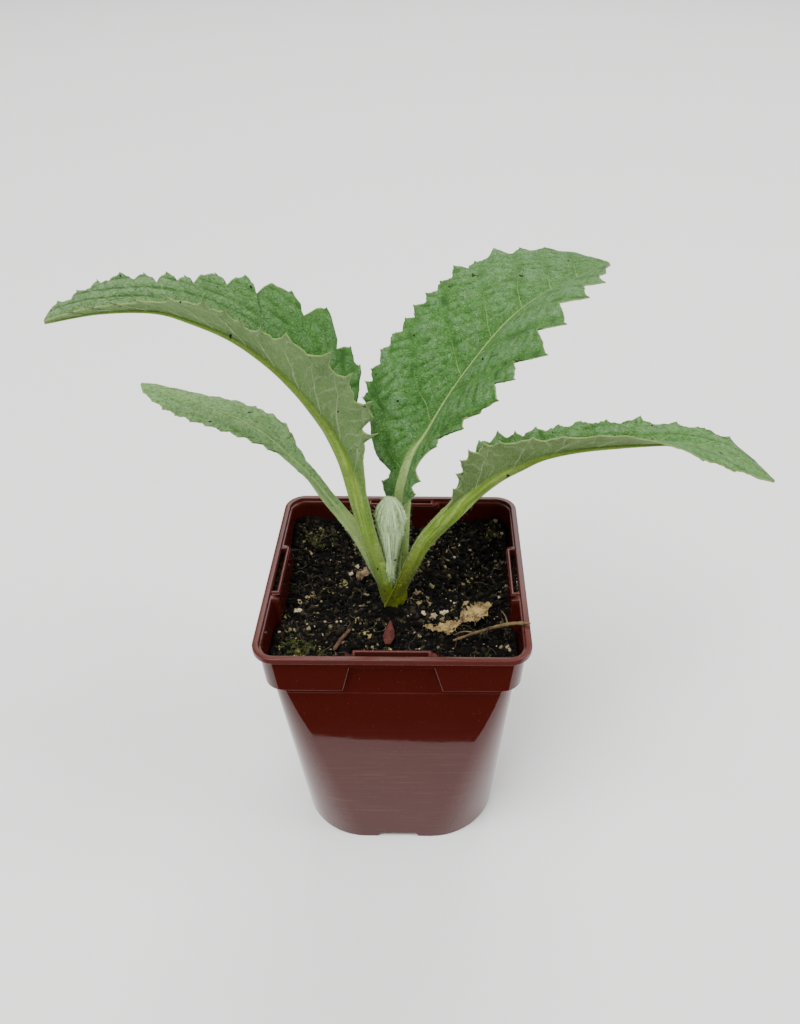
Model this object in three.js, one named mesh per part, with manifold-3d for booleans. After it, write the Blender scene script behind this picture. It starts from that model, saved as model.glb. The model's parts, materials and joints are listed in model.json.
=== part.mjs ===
// A young globe artichoke in a square nursery pot.
// Millimetres, +Z up. The origin is the middle of the pot's foot, and -Y is the pot's front.
import * as THREE from 'three';
import { mergeVertices } from 'three/addons/utils/BufferGeometryUtils.js';
import Module from 'manifold-3d';

const wasm = await Module();
wasm.setup();

// Driving dimensions of the pot.
const HEIGHT = 102.5;
const RIM_HALF = 44;
const RIM_RADIUS = 7.7;
const LIP_WIDTH = 2;
const LIP_HEIGHT = 2.1;
const LEDGE_THICKNESS = 0.8;
const FOOT_HALF = 36.5;
const FOOT_RADIUS = 24.3;
const SHOULDER_HALF = 39.5;
const SHOULDER_RADIUS = 5.2;
const BODY_TOP_HALF = 39.9;
const BODY_TOP_Z = HEIGHT - 0.4;
const WALL = 0.9;
const COLLAR_HALF = 42.4;
const COLLAR_FOOT_HALF = 41.6;
const COLLAR_RADIUS = 6.8;
const COLLAR_DEPTH = 16.2;
const PANEL_DEPTH = 5.2;
const PANEL_TOP_WIDTH = 26.5;
const PANEL_FOOT_WIDTH = 32;
const SLOT_LENGTH = 22.8;
const SLOT_WIDTH = 1.9;
const BLOCK_START = 30;
const FLOOR_Z = 2;
const FLOOR_THICKNESS = 1.2;
const FOOT_WALL = 2.6;
const NOTCH_TOP_WIDTH = 13;
const NOTCH_FOOT_WIDTH = 16;
const HUB_RADIUS = 13;
const DRAIN_RADIUS = 3.2;
const DRAIN_CIRCLE = 23;
const DRAIN_COUNT = 8;

// Driving dimensions of the soil and of the crown that stands in it.
const SOIL_Z = 91;
const SOIL_CELLS = 27;
const CROWN_X = -1.5;
const CROWN_Y = -4;
const GAP = 0.3;

// Leaves. The midrib runs in a vertical plane that leaves the crown at `azimuth`, through points
// [reach, height], and its root is sunk into the crown. `fold` is how far each half rises from
// level, [place along the leaf, degrees]. Each margin is walked from the petiole to the tip as
// [along, out], in teeth and notches. Its teeth nod and its notches rise by `ruffle`. The left
// half is the one on the left hand of somebody who looks from the crown to the tip. `raise` is the
// share of the rib's depth that stands above the midrib's line, at the petiole and on the blade.
const LARGE_LEFT_LEAF = {
  azimuth: 192,
  midrib: [[2.6, 96.5], [4.7, 107.7], [7.9, 121], [11, 137], [13.5, 150.5], [17, 161], [20.5, 168],
    [26, 177], [33, 186], [42, 194.5], [52, 200.4], [61, 204], [74.5, 204.8], [88.5, 203.2]],
  leftFold: [[0, 22], [0.25, 45], [0.4, 60], [0.7, 58], [0.8, 50], [1, 45]],
  rightFold: [[0, 22], [0.25, 45], [0.4, 58], [0.6, 52], [0.8, 42], [1, 35]],
  cup: -22,
  sink: 4,
  raise: [0.45, 0.2],
  ruffle: [0.4, 0.4],
  petiole: { half: 2.7, depth: 3.6 },
  left: [[30, 3.4], [44, 3.8], [50, 4.6], [56, 6.6], [60.5, 8.5], [64, 14.5], [67, 11], [70, 18], [74, 14.5],
    [78, 17], [83, 20], [85.5, 15.5], [90.5, 20], [94, 13], [100, 13.5], [102, 9.5], [105, 9.5],
    [107, 6.5], [109, 8], [111, 7.5], [114, 11], [116.5, 8.5], [119.5, 12.5], [122.5, 8], [126.5, 9.5],
    [129.5, 6.5], [133, 7.5], [136, 5.8], [139, 6.5], [142, 4.6], [145, 5], [147.5, 3.6], [150, 3.6],
    [152, 2.4], [154, 2]],
  right: [[34, 3.4], [44, 3.8], [52, 5], [58, 6.5], [63, 8], [69, 12.5], [71, 16], [74.5, 20.5], [77, 19.5],
    [80, 22], [83, 17.5], [86, 21.5], [91, 25], [95, 17.5], [100, 21.5], [105, 20.5], [107.5, 14.5],
    [110.5, 18.5], [114, 13.5], [117, 15.5], [119.5, 14.5], [122, 10.5], [124, 12], [125.5, 9.5],
    [127.5, 11.5], [129.5, 8], [132, 10.5], [134.5, 8.5], [137.5, 10.5], [140.5, 8.8], [143, 9],
    [145, 6.8], [148, 7], [150, 4.6], [153, 4.6]],
};
const SMALL_LEFT_LEAF = {
  azimuth: 168,
  midrib: [[1.6, 95], [5, 105.7], [11.3, 119.2], [20.7, 132], [26.4, 140.2], [33.4, 147.5], [41, 154.2],
    [51.6, 159.7], [60, 162], [69, 164.5], [80, 167.2]],
  leftFold: [[0, 18], [0.45, 8], [0.6, -4], [1, -8]],
  rightFold: [[0, 24], [0.45, 18], [0.6, 0], [1, -8]],
  cup: -16,
  sink: 4,
  raise: [0.1, 0],
  ruffle: [0.2, 0.2],
  petiole: { half: 2.3, depth: 3 },
  left: [[34, 2.7], [48, 2.7], [56, 2.8], [61, 2.8], [65, 3], [68, 4.4], [70, 4.2], [73, 6], [75, 5.7],
    [78, 7.4], [80, 7], [83, 8.4], [85, 7.9], [88, 8.9], [90, 8.3], [93, 8.9], [95, 8.2], [98, 8.5],
    [100, 7.6], [102.5, 7.6], [104.5, 6.4], [107, 6], [109, 4.6], [111.5, 3.4]],
  right: [[30, 2.7], [40, 2.7], [48, 2.8], [53, 2.9], [56, 3.2], [59, 5.2], [61, 5.4], [64, 8.6],
    [65.5, 8.8], [68, 11.3], [70, 10.8], [73, 11.6], [75.5, 10.4], [79, 10.4], [81.5, 9], [85, 8.9],
    [87.5, 7.6], [91, 7.6], [93.5, 6.2], [97, 6], [99.5, 4.7], [103, 4.6], [106, 3.2], [110, 2.8]],
};
const TALL_BACK_LEAF = {
  azimuth: 44,
  midrib: [[1.8, 99.7], [3.7, 120.5], [4.9, 134], [6.8, 140.7], [10.4, 148], [16, 152.8], [22.2, 159.3],
    [28.4, 165], [36.8, 171.2], [47.2, 177.7], [57, 182], [70.5, 185], [87.3, 186], [104.5, 187]],
  leftFold: [[0, 35], [0.22, 35], [0.35, 22], [0.6, 18], [1, 15]],
  rightFold: [[0, 20], [0.22, 22], [0.35, 22], [0.6, 18], [1, 15]],
  cup: -20,
  sink: 5,
  raise: [0, 0],
  ruffle: [0.2, 1],
  petiole: { half: 2.6, depth: 3.4 },
  left: [[24, 3.2], [32, 4.5], [37.5, 6.8], [39.5, 5], [41.5, 5.2], [43.5, 9.5], [46, 12], [52.5, 19.5],
    [55.5, 25], [59.5, 24.5], [62, 27], [63.5, 25], [66, 27.5], [69, 25.8], [72.5, 28.5], [75, 26.6],
    [78.5, 28.5], [81, 26.3], [85, 28.5], [87, 26], [90, 29], [93, 26.2], [95.5, 28.5], [98.5, 26.2],
    [101.5, 28], [104.5, 26], [108.5, 29.5], [111, 25], [114.5, 25.6], [118, 24], [124.5, 27],
    [127, 21.5], [133, 22.5], [136, 19], [142, 18.5], [145, 14], [149.5, 10.5], [151.5, 6.5], [154, 3.6]],
  right: [[26, 3.2], [33, 4.4], [38.5, 9], [40.5, 6.6], [43.5, 9.5], [46, 6], [50, 7], [54, 9.5], [58, 9],
    [61, 13], [63.5, 17], [66, 15.5], [69.5, 20], [71.5, 22], [74.5, 24.3], [77, 21],
    [79.5, 18], [80.8, 22], [82, 25], [85, 22.5], [88, 19.5], [90, 25], [92.7, 29.3], [96.5, 24], [100, 18],
    [102.3, 21.5], [104.7, 25.2], [109, 20.5], [113, 14.5], [116.5, 17], [120.5, 19.5], [125, 14.5],
    [128, 11.5], [131, 13.5], [135, 14.5], [139.5, 9], [144, 8.5], [148, 5], [152, 4]],
};
const RIGHT_LEAF = {
  azimuth: -12,
  midrib: [[3.4, 95], [8.2, 107], [13.3, 118.8], [23, 132.6], [28, 140], [35, 147.8], [42, 153.2],
    [48, 157.3], [57.3, 161], [67.7, 163.8], [80, 166.5], [87, 167.2], [93.5, 166.7], [101.2, 164.4],
    [113.2, 158.4]],
  leftFold: [[0, 18], [0.35, 60], [0.5, 58], [0.7, 40], [0.85, 15], [1, 0]],
  rightFold: [[0, 18], [0.33, 74], [0.48, 72], [0.55, 62], [0.7, 50], [0.78, 28], [0.86, 0], [1, -10]],
  cup: -20,
  sink: 4,
  raise: [0.8, 0.5],
  ruffle: [0.3, 0.3],
  petiole: { half: 2.6, depth: 3.4 },
  left: [[30, 3.2], [38, 3.4], [43, 3.4], [47, 4.5], [51, 8], [53.5, 6.8], [56.5, 11.5], [59, 10],
    [62, 13.5], [64.5, 11], [67.5, 13], [70, 9.8], [73, 10.5], [75, 8], [78, 9.5], [80.5, 7.2], [84, 8.9],
    [86.5, 7.3], [90, 8.7], [93.5, 7.4], [97, 8.2], [101, 6.6], [106.5, 8.8], [111, 5.9], [116, 7.2],
    [119.5, 6], [123.5, 7.8], [127, 6.6], [131, 8], [135, 5.8], [140, 4.6]],
  right: [[28, 3.2], [36, 3.4], [42, 3.2], [46, 3.8], [50, 7], [52.5, 6], [55, 11], [57, 9.8], [59.5, 14.5],
    [61, 12.8], [63, 15.5], [64.5, 13], [67, 15.5], [69, 13], [71.5, 13.5], [75, 10.5], [79, 11],
    [82, 8.2], [87, 9.5], [91, 7.5], [96, 9.5], [100, 7.6], [105, 9.4], [109, 7.6], [114, 9.2],
    [118, 7.6], [123, 8.6], [127.5, 6.6], [132.5, 6.4], [136.5, 4.2], [141, 3.2]],
};
const HEART_LEAF = {
  azimuth: -96,
  midrib: [[1.6, 98.5], [2.4, 106], [3, 114], [3.4, 122], [3.2, 129], [2, 134.5], [-0.6, 138]],
  leftFold: [[0, 50], [0.5, 42], [0.8, 34], [1, 20]],
  rightFold: [[0, 50], [0.5, 42], [0.8, 34], [1, 20]],
  cup: 26,
  sink: 2,
  raise: [0, 0],
  ruffle: [0.2, 0.2],
  petiole: { half: 1.1, depth: 1.5 },
  left: [[6, 1.9], [12, 2.7], [17, 3.9], [21, 4.6], [24, 5.6], [27, 5.7], [29.5, 6.4], [32, 5.9],
    [34.5, 5.8], [36.5, 4.4], [38.5, 3.2]],
  right: [[7, 1.9], [13, 2.8], [18, 4.1], [22, 4.9], [25, 5.8], [27.5, 5.8], [30, 6.2], [32.5, 5.6],
    [35, 5.2], [37, 3.8], [39, 2.6]],
};
const BLADE_THICKNESS = 0.65;
const PETIOLE_ROWS = 6;
const PETIOLE_WING = 0.3;
const RIB_SHARE = 0.34;
const ROOT_LENGTH = 14;
const RAISE_REACH = 6;
const TOOTH_DEPTH = 4;
const VEIN_SLANT = 0.55;
const TIP_HALF_WIDTH = 0.5;
const RIB_COLUMNS = [0, 0.6, 1];
const BLADE_COLUMNS = [0.36, 0.7, 1];

// What lies on the soil. A scrap is a strip along [x, y, z] points with a half width at each.
const DRY_LEAF = {
  spine: [[9.4, -18.2, 92.6], [13.5, -19.3, 92.7], [17.3, -20, 93.2], [20.4, -18.4, 94], [24.5, -15.6, 94.2],
    [28.8, -12.4, 94.6], [32.4, -10.4, 95.6]],
  halfWidths: [0.5, 1.9, 3, 2.3, 3.9, 4, 1.4],
  curl: 0.9,
};
const RED_SCRAP = {
  spine: [[-2.2, -26.2, 92.2], [-2, -23.4, 92.9], [-1.8, -20.4, 93.8], [-1.6, -17.6, 94.6]],
  halfWidths: [1.9, 2.3, 1.9, 0.4],
  curl: -0.8,
};
const BARK_FLAKE = {
  spine: [[-15.2, 8.6, 92.6], [-13, 8.8, 93.4], [-10.4, 8.2, 93.8]],
  halfWidths: [2, 3, 1.6],
  curl: -0.5,
};
const SCRAP_THICKNESS = 0.7;
const SCRAP_COLUMNS = [1, 0.5, 0, -0.5, -1];
const TWIG_SIDES = 7;
const LONG_TWIG = {
  points: [[19.5, -25, 92.6], [26, -25.4, 96.2], [32.5, -26.2, 99.9], [38.5, -27.2, 102.5],
    [44, -28, 103.5]],
  radii: [0.5, 0.75],
};
const SHORT_TWIG = {
  points: [[-15.2, -20.4, 92.7], [-17.4, -25, 93.1], [-19.6, -30.2, 92.9]],
  radii: [0.7, 0.9],
};
// Grains of perlite half sunk in the soil, [x, y, radius].
const GRAINS = [[-33.9, -10.3, 1.3], [9.2, -10.3, 1.1], [13, -11.8, 1.5], [16.5, -9.6, 1.4],
  [7.3, -1.8, 1.2], [-15.2, 14.5, 1], [37.2, -28, 1.4], [-24, 4, 1.6], [27, 8, 1.7], [-28, -24, 1.5]];

const colours = {
  pot: 0x5a1710, soil: 0x1d1712, crown: 0x7d8a28, leaf: 0x4f7d3c, paleLeaf: 0x7f9f5e, heart: 0xa9bd92,
  dryLeaf: 0xb49a5f, twig: 0x8a6a3c, bark: 0x6e5138, red: 0x7d1f1a,
};

function namedMesh(name, geometry, color, roughness) {
  const material = new THREE.MeshStandardMaterial({ color, roughness, metalness: 0 });
  const mesh = new THREE.Mesh(geometry, material);
  mesh.name = name;
  return mesh;
}

function toSolid(geometry) {
  const bare = geometry.clone();
  bare.deleteAttribute('normal');
  bare.deleteAttribute('uv');
  const welded = mergeVertices(bare, 1e-4);
  const vertProperties = new Float32Array(welded.attributes.position.array);
  const triVerts = new Uint32Array(welded.index.array);
  return new wasm.Manifold(new wasm.Mesh({ numProp: 3, vertProperties, triVerts }));
}

function largestBody(solid) {
  const bodies = solid.decompose();
  return bodies.reduce((best, body) => (body.volume() > best.volume() ? body : best));
}

function toGeometry(solid) {
  const { vertProperties, triVerts } = largestBody(solid).getMesh();
  const geometry = new THREE.BufferGeometry();
  geometry.setAttribute('position', new THREE.BufferAttribute(new Float32Array(vertProperties), 3));
  geometry.setIndex(new THREE.BufferAttribute(new Uint32Array(triVerts), 1));
  return geometry;
}

// Closed surface over rings of equal point counts, from the first ring to the last.
function loftRings(rings) {
  const count = rings[0].length;
  const positions = rings.flat().flatMap((point) => point.toArray());
  const faces = [];
  for (let ring = 0; ring + 1 < rings.length; ring += 1) {
    for (let step = 0; step < count; step += 1) {
      const next = (step + 1) % count;
      const a = ring * count + step;
      const b = ring * count + next;
      faces.push(a, b, b + count, a, b + count, a + count);
    }
  }
  const last = (rings.length - 1) * count;
  for (let step = 1; step + 1 < count; step += 1) {
    faces.push(0, step + 1, step);
    faces.push(last, last + step, last + step + 1);
  }
  const geometry = new THREE.BufferGeometry();
  geometry.setAttribute('position', new THREE.Float32BufferAttribute(positions, 3));
  geometry.setIndex(faces);
  return geometry;
}

// A square ring with round corners, counter-clockwise.
function squareRing(half, radius, z, cornerSteps = 5) {
  const ring = [];
  for (let corner = 0; corner < 4; corner += 1) {
    const middle = Math.PI / 4 + (corner * Math.PI) / 2;
    const centre = half - radius;
    const centreX = Math.sign(Math.cos(middle)) * centre;
    const centreY = Math.sign(Math.sin(middle)) * centre;
    for (let step = 0; step <= cornerSteps; step += 1) {
      const angle = middle - Math.PI / 4 + (step / cornerSteps) * (Math.PI / 2);
      const arm = new THREE.Vector3(radius * Math.cos(angle), radius * Math.sin(angle), 0);
      ring.push(arm.add(new THREE.Vector3(centreX, centreY, z)));
    }
  }
  return ring;
}

function squareLoft(stations, cornerSteps) {
  return toSolid(loftRings(stations.map(([half, radius, z]) => squareRing(half, radius, z, cornerSteps))));
}

// A trapezoid prism on the middle of each of the four sides, from `inner` to `outer` off the axis.
function sidePrisms(topHalfWidth, footHalfWidth, topZ, footZ, inner, outer) {
  const outline = new THREE.Shape([
    new THREE.Vector2(-footHalfWidth, footZ), new THREE.Vector2(footHalfWidth, footZ),
    new THREE.Vector2(topHalfWidth, topZ), new THREE.Vector2(-topHalfWidth, topZ),
  ]);
  const prism = new THREE.ExtrudeGeometry(outline, { depth: outer - inner, bevelEnabled: false });
  prism.rotateX(Math.PI / 2);
  prism.translate(0, -inner, 0);
  const one = toSolid(prism);
  return [0, 90, 180, 270].map((turn) => one.rotate([0, 0, turn])).reduce((all, side) => all.add(side));
}

// The body widens from its round-cornered foot to the square shoulder under the collar.
function bodyStation(z, inset) {
  const shoulder = HEIGHT - COLLAR_DEPTH;
  const half = THREE.MathUtils.mapLinear(z, 0, shoulder, FOOT_HALF, SHOULDER_HALF);
  const radius = THREE.MathUtils.mapLinear(z, 0, shoulder, FOOT_RADIUS, SHOULDER_RADIUS);
  return [half - inset, radius - inset, z];
}

function potShell() {
  const collarFoot = HEIGHT - COLLAR_DEPTH;
  const lipFoot = HEIGHT - LIP_HEIGHT;
  const body = squareLoft([
    bodyStation(0, 0), bodyStation(collarFoot, 0), [BODY_TOP_HALF, SHOULDER_RADIUS, BODY_TOP_Z],
  ]);
  const collar = squareLoft([
    [COLLAR_FOOT_HALF, COLLAR_RADIUS, collarFoot], [COLLAR_HALF, COLLAR_RADIUS, lipFoot + 0.2],
  ]);
  const panelTop = HEIGHT - PANEL_DEPTH;
  const panelFoot = collarFoot - 0.5;
  const [topHalf, footHalf] = [PANEL_TOP_WIDTH / 2, PANEL_FOOT_WIDTH / 2];
  const panels = sidePrisms(topHalf, footHalf, panelTop, panelFoot, BLOCK_START, RIM_HALF);
  const lip = squareLoft([[RIM_HALF, RIM_RADIUS, lipFoot], [RIM_HALF, RIM_RADIUS, HEIGHT]], 7);
  return body.add(collar.subtract(panels)).add(lip);
}

// The hollow of the pot up to the ledge under the lip, drawn in by `gap`.
function potCavity(gap) {
  const floor = FLOOR_Z + FLOOR_THICKNESS + gap;
  const inset = WALL + gap;
  const shoulder = HEIGHT - COLLAR_DEPTH + inset;
  const main = squareLoft([
    bodyStation(floor, inset), bodyStation(shoulder, inset),
    [BODY_TOP_HALF - inset, SHOULDER_RADIUS - inset, HEIGHT + 1],
  ]);
  const corners = squareLoft([
    [COLLAR_FOOT_HALF - inset, COLLAR_RADIUS - inset, shoulder],
    [COLLAR_HALF - inset, COLLAR_RADIUS - inset, HEIGHT + 1],
  ]);
  const panelTop = PANEL_TOP_WIDTH / 2 + inset;
  const panelFoot = PANEL_FOOT_WIDTH / 2 + inset;
  const panels = sidePrisms(panelTop, panelFoot, HEIGHT + 2, shoulder - 1, BLOCK_START, RIM_HALF);
  return main.add(corners.subtract(panels));
}

// The space inside the lip, with the pocket behind it left standing at the middle of each side.
function lipOpening() {
  const inner = RIM_HALF - LIP_WIDTH;
  const ledge = HEIGHT - LIP_HEIGHT + LEDGE_THICKNESS;
  const opening = squareLoft([
    [inner, RIM_RADIUS - LIP_WIDTH, ledge], [inner, RIM_RADIUS - LIP_WIDTH, HEIGHT + 1],
  ]);
  const pocketHalf = SLOT_LENGTH / 2 + WALL;
  const pockets = sidePrisms(pocketHalf, pocketHalf, BODY_TOP_Z, ledge - 1, BODY_TOP_HALF - WALL, RIM_HALF);
  return opening.subtract(pockets);
}

function potUnderside() {
  const recess = squareLoft([bodyStation(-1, FOOT_WALL), bodyStation(FLOOR_Z, FOOT_WALL)]);
  const hub = new THREE.CylinderGeometry(HUB_RADIUS, HUB_RADIUS, 8, 24);
  hub.rotateX(Math.PI / 2);
  const [topHalf, footHalf] = [NOTCH_TOP_WIDTH / 2, NOTCH_FOOT_WIDTH / 2];
  const notches = sidePrisms(topHalf, footHalf, FLOOR_Z, -0.5, BLOCK_START, RIM_HALF);
  const drain = new THREE.CylinderGeometry(DRAIN_RADIUS, DRAIN_RADIUS, 8, 12);
  drain.rotateX(Math.PI / 2);
  drain.translate(DRAIN_CIRCLE, 0, 0);
  let cut = recess.subtract(toSolid(hub)).add(notches);
  for (let index = 0; index < DRAIN_COUNT; index += 1) {
    cut = cut.add(toSolid(drain).rotate([0, 0, ((index + 0.5) * 360) / DRAIN_COUNT]));
  }
  return cut;
}

function pot() {
  const slotHalf = SLOT_LENGTH / 2;
  const slotFoot = HEIGHT - PANEL_DEPTH - 1;
  const slotOuter = BODY_TOP_HALF + SLOT_WIDTH;
  const slots = sidePrisms(slotHalf, slotHalf, HEIGHT + 1, slotFoot, BODY_TOP_HALF, slotOuter);
  return potShell().subtract(potCavity(0)).subtract(lipOpening()).subtract(slots).subtract(potUnderside());
}

// Soft lumps, from a few waves that cross at odd angles, and small crumbs on top of them.
function soilHeight(x, y) {
  const swell = 0.7 * Math.sin(x / 9 + 1.3) * Math.cos(y / 11 - 0.4) + 0.45 * Math.sin(x / 4.3 - y / 5.1);
  const crumbs = 0.5 * Math.sin(x * 1.31 + Math.sin(y * 0.9) * 2) * Math.sin(y * 1.47 - x * 0.37);
  const fromEdge = Math.max(Math.abs(x), Math.abs(y)) / RIM_HALF;
  const banked = 1.1 * fromEdge ** 6;
  return SOIL_Z + swell + crumbs + banked;
}

function soilBlock() {
  const half = RIM_HALF - 1;
  const cell = (2 * half) / SOIL_CELLS;
  const rowLength = SOIL_CELLS + 1;
  const positions = [];
  const faces = [];
  for (const top of [true, false]) {
    for (let row = 0; row <= SOIL_CELLS; row += 1) {
      for (let column = 0; column <= SOIL_CELLS; column += 1) {
        const x = -half + column * cell;
        const y = -half + row * cell;
        positions.push(x, y, top ? soilHeight(x, y) : -1);
      }
    }
  }
  const lower = rowLength * rowLength;
  const at = (column, row) => row * rowLength + column;
  for (let row = 0; row < SOIL_CELLS; row += 1) {
    for (let column = 0; column < SOIL_CELLS; column += 1) {
      const [a, b] = [at(column, row), at(column + 1, row)];
      const [c, d] = [at(column + 1, row + 1), at(column, row + 1)];
      faces.push(a, b, c, a, c, d);
      faces.push(a + lower, c + lower, b + lower, a + lower, d + lower, c + lower);
    }
  }
  const wall = (from, to) => faces.push(from, from + lower, to + lower, from, to + lower, to);
  for (let step = 0; step < SOIL_CELLS; step += 1) {
    wall(at(step, 0), at(step + 1, 0));
    wall(at(SOIL_CELLS, step), at(SOIL_CELLS, step + 1));
    wall(at(step + 1, SOIL_CELLS), at(step, SOIL_CELLS));
    wall(at(0, step + 1), at(0, step));
  }
  const geometry = new THREE.BufferGeometry();
  geometry.setAttribute('position', new THREE.Float32BufferAttribute(positions, 3));
  geometry.setIndex(faces);
  return toSolid(geometry);
}

// The short stem at the heart of the rosette, with the neck of the root below it.
function crownGeometry(grow = 0) {
  const profile = [[2, 80], [2.8, 84], [3.5, 88], [4.3, 91], [4.9, 93.5], [4.8, 95.5], [3.9, 97.2], [2, 98]];
  const low = profile[0][1] - grow;
  const high = profile[profile.length - 1][1] + grow;
  const points = profile.map(([radius, z]) => new THREE.Vector2(radius + grow, z));
  points[0].y = low;
  points[points.length - 1].y = high;
  const outline = [new THREE.Vector2(0, low), ...points, new THREE.Vector2(0, high)];
  const geometry = new THREE.LatheGeometry(outline, 16);
  geometry.rotateX(Math.PI / 2);
  geometry.translate(CROWN_X, CROWN_Y, 0);
  return geometry;
}

function lookUp(table, place) {
  const last = table[table.length - 1];
  if (place >= last[0]) {
    return last[1];
  }
  const next = Math.max(1, table.findIndex(([start]) => start > place));
  const [x0, y0] = table[next - 1];
  const [x1, y1] = table[next];
  return y0 + ((y1 - y0) * (place - x0)) / (x1 - x0);
}

// Where each row leaves the midrib: behind its teeth by the slant of the side veins, smoothed so
// that the rows never cross.
function rowStarts(left, right) {
  let starts = left.map(([along, out], row) => {
    const [otherAlong, otherOut] = right[row];
    return (along + otherAlong - VEIN_SLANT * (out + otherOut)) / 2;
  });
  for (let pass = 0; pass < 3; pass += 1) {
    starts = starts.map((start, row) => {
      const before = starts[Math.max(0, row - 1)];
      const after = starts[Math.min(starts.length - 1, row + 1)];
      return (before + start + after) / 3;
    });
  }
  for (let row = 1; row < starts.length; row += 1) {
    starts[row] = Math.max(starts[row], starts[row - 1] + 0.8);
  }
  return starts;
}

// How far a margin point stands out past its neighbours, from -1 in a notch to 1 on a tooth.
function toothShare(margin, row) {
  const before = margin[Math.max(0, row - 1)][1];
  const after = margin[Math.min(margin.length - 1, row + 1)][1];
  return THREE.MathUtils.clamp((margin[row][1] - (before + after) / 2) / TOOTH_DEPTH, -1, 1);
}

function leafRows(leaf, length) {
  const starts = rowStarts(leaf.left, leaf.right);
  const rows = [];
  for (let row = 0; row < PETIOLE_ROWS; row += 1) {
    const share = row / PETIOLE_ROWS;
    const reach = ([along, out]) => [
      THREE.MathUtils.lerp(-leaf.sink, along, share),
      THREE.MathUtils.lerp(leaf.petiole.half + PETIOLE_WING, out, share),
    ];
    const start = THREE.MathUtils.lerp(-leaf.sink, starts[0], share);
    rows.push({ start, left: reach(leaf.left[0]), right: reach(leaf.right[0]), leftLift: 0, rightLift: 0 });
  }
  leaf.left.forEach((left, row) => {
    const leftLift = -leaf.ruffle[0] * toothShare(leaf.left, row);
    const rightLift = -leaf.ruffle[1] * toothShare(leaf.right, row);
    rows.push({ start: starts[row], left, right: leaf.right[row], leftLift, rightLift });
  });
  const tip = [length, TIP_HALF_WIDTH];
  rows.push({ start: length, left: tip, right: tip, leftLift: 0, rightLift: 0 });
  return rows;
}

// A point of the upper face, `share` of the way from the midrib to the margin of one half.
function bladePoint(leaf, spine, length, along, out, margin, hand) {
  const station = THREE.MathUtils.clamp(along / length, 0, 1);
  const origin = spine.getPointAt(station);
  const tangent = spine.getTangentAt(station);
  const azimuth = THREE.MathUtils.degToRad(leaf.azimuth);
  const side = new THREE.Vector3(-Math.sin(azimuth), Math.cos(azimuth), 0);
  const normal = new THREE.Vector3().crossVectors(tangent, side);
  const fold = THREE.MathUtils.degToRad(lookUp(hand > 0 ? leaf.leftFold : leaf.rightFold, station));
  const cup = THREE.MathUtils.degToRad(leaf.cup);
  const root = fold - cup / 2;
  const share = out / margin;
  const across = (margin * (Math.sin(root + cup * share) - Math.sin(root))) / cup;
  const up = (margin * (Math.cos(root) - Math.cos(root + cup * share))) / cup;
  origin.addScaledVector(tangent, along - station * length);
  origin.addScaledVector(side, hand * across);
  origin.addScaledVector(normal, up);
  return { point: origin, normal };
}

// The petiole is thick, thins to its root in the crown, and runs out as a rib along the blade.
function ribSize(leaf, along, length) {
  const place = along / length;
  const taper = THREE.MathUtils.clamp(1.06 - place, 0.1, 1) ** 0.9;
  const slim = THREE.MathUtils.lerp(1, RIB_SHARE, THREE.MathUtils.smoothstep(place, 0.2, 0.6));
  const root = THREE.MathUtils.lerp(0.45, 1, THREE.MathUtils.smoothstep(along, -leaf.sink, ROOT_LENGTH));
  return { half: leaf.petiole.half * taper * slim, depth: leaf.petiole.depth * taper * slim * root };
}

// One leaf as a closed sheet: the upper face, the lower face with its thick rounded rib, and the
// edge between them. Both faces are cut into the same triangles. `grow` thickens it all round.
function leafGeometry(leaf, grow = 0) {
  const azimuth = THREE.MathUtils.degToRad(leaf.azimuth);
  const points = leaf.midrib.map(([reach, z]) => new THREE.Vector3(
    CROWN_X + reach * Math.cos(azimuth), CROWN_Y + reach * Math.sin(azimuth), z));
  const spine = new THREE.CatmullRomCurve3(points, false, 'catmullrom', 0.5);
  spine.arcLengthDivisions = 400;
  const length = spine.getLength();
  const rows = leafRows(leaf, length);
  rows[0].start -= grow;
  rows[rows.length - 1].start += grow;
  const upper = [];
  const depths = [];
  const normals = [];
  for (const row of rows) {
    const rib = ribSize(leaf, row.start, length);
    const bladeShare = THREE.MathUtils.smoothstep(row.start / length, 0.2, 0.45);
    const raise = THREE.MathUtils.lerp(...leaf.raise, bladeShare) * (BLADE_THICKNESS + rib.depth);
    const line = [];
    const halves = [[1, row.left, row.leftLift], [-1, row.right, row.rightLift]];
    for (const [hand, [marginAlong, marginOut], lift] of halves) {
      const margin = marginOut + grow;
      const ribHalf = Math.min(rib.half, margin * 0.8);
      const outs = RIB_COLUMNS.map((share) => share * ribHalf);
      BLADE_COLUMNS.forEach((share) => outs.push(THREE.MathUtils.lerp(ribHalf, margin, share)));
      const halfLine = outs.map((out) => {
        const share = out / margin;
        const along = THREE.MathUtils.lerp(row.start, marginAlong, share);
        const { point, normal } = bladePoint(leaf, spine, length, along, out, margin, hand);
        point.addScaledVector(normal, lift * share * share + raise / (1 + (out / RAISE_REACH) ** 2));
        const bulge = Math.sqrt(Math.max(0, 1 - (out / ribHalf) ** 2));
        return { point, normal, depth: BLADE_THICKNESS + rib.depth * bulge };
      });
      if (hand > 0) {
        line.push(...halfLine.reverse());
      } else {
        line.push(...halfLine.slice(1));
      }
    }
    upper.push(line.map(({ point }) => point));
    normals.push(line.map(({ normal }) => normal));
    depths.push(line.map(({ depth }) => depth));
  }
  return sheetGeometry(upper, normals, depths, grow);
}

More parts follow.
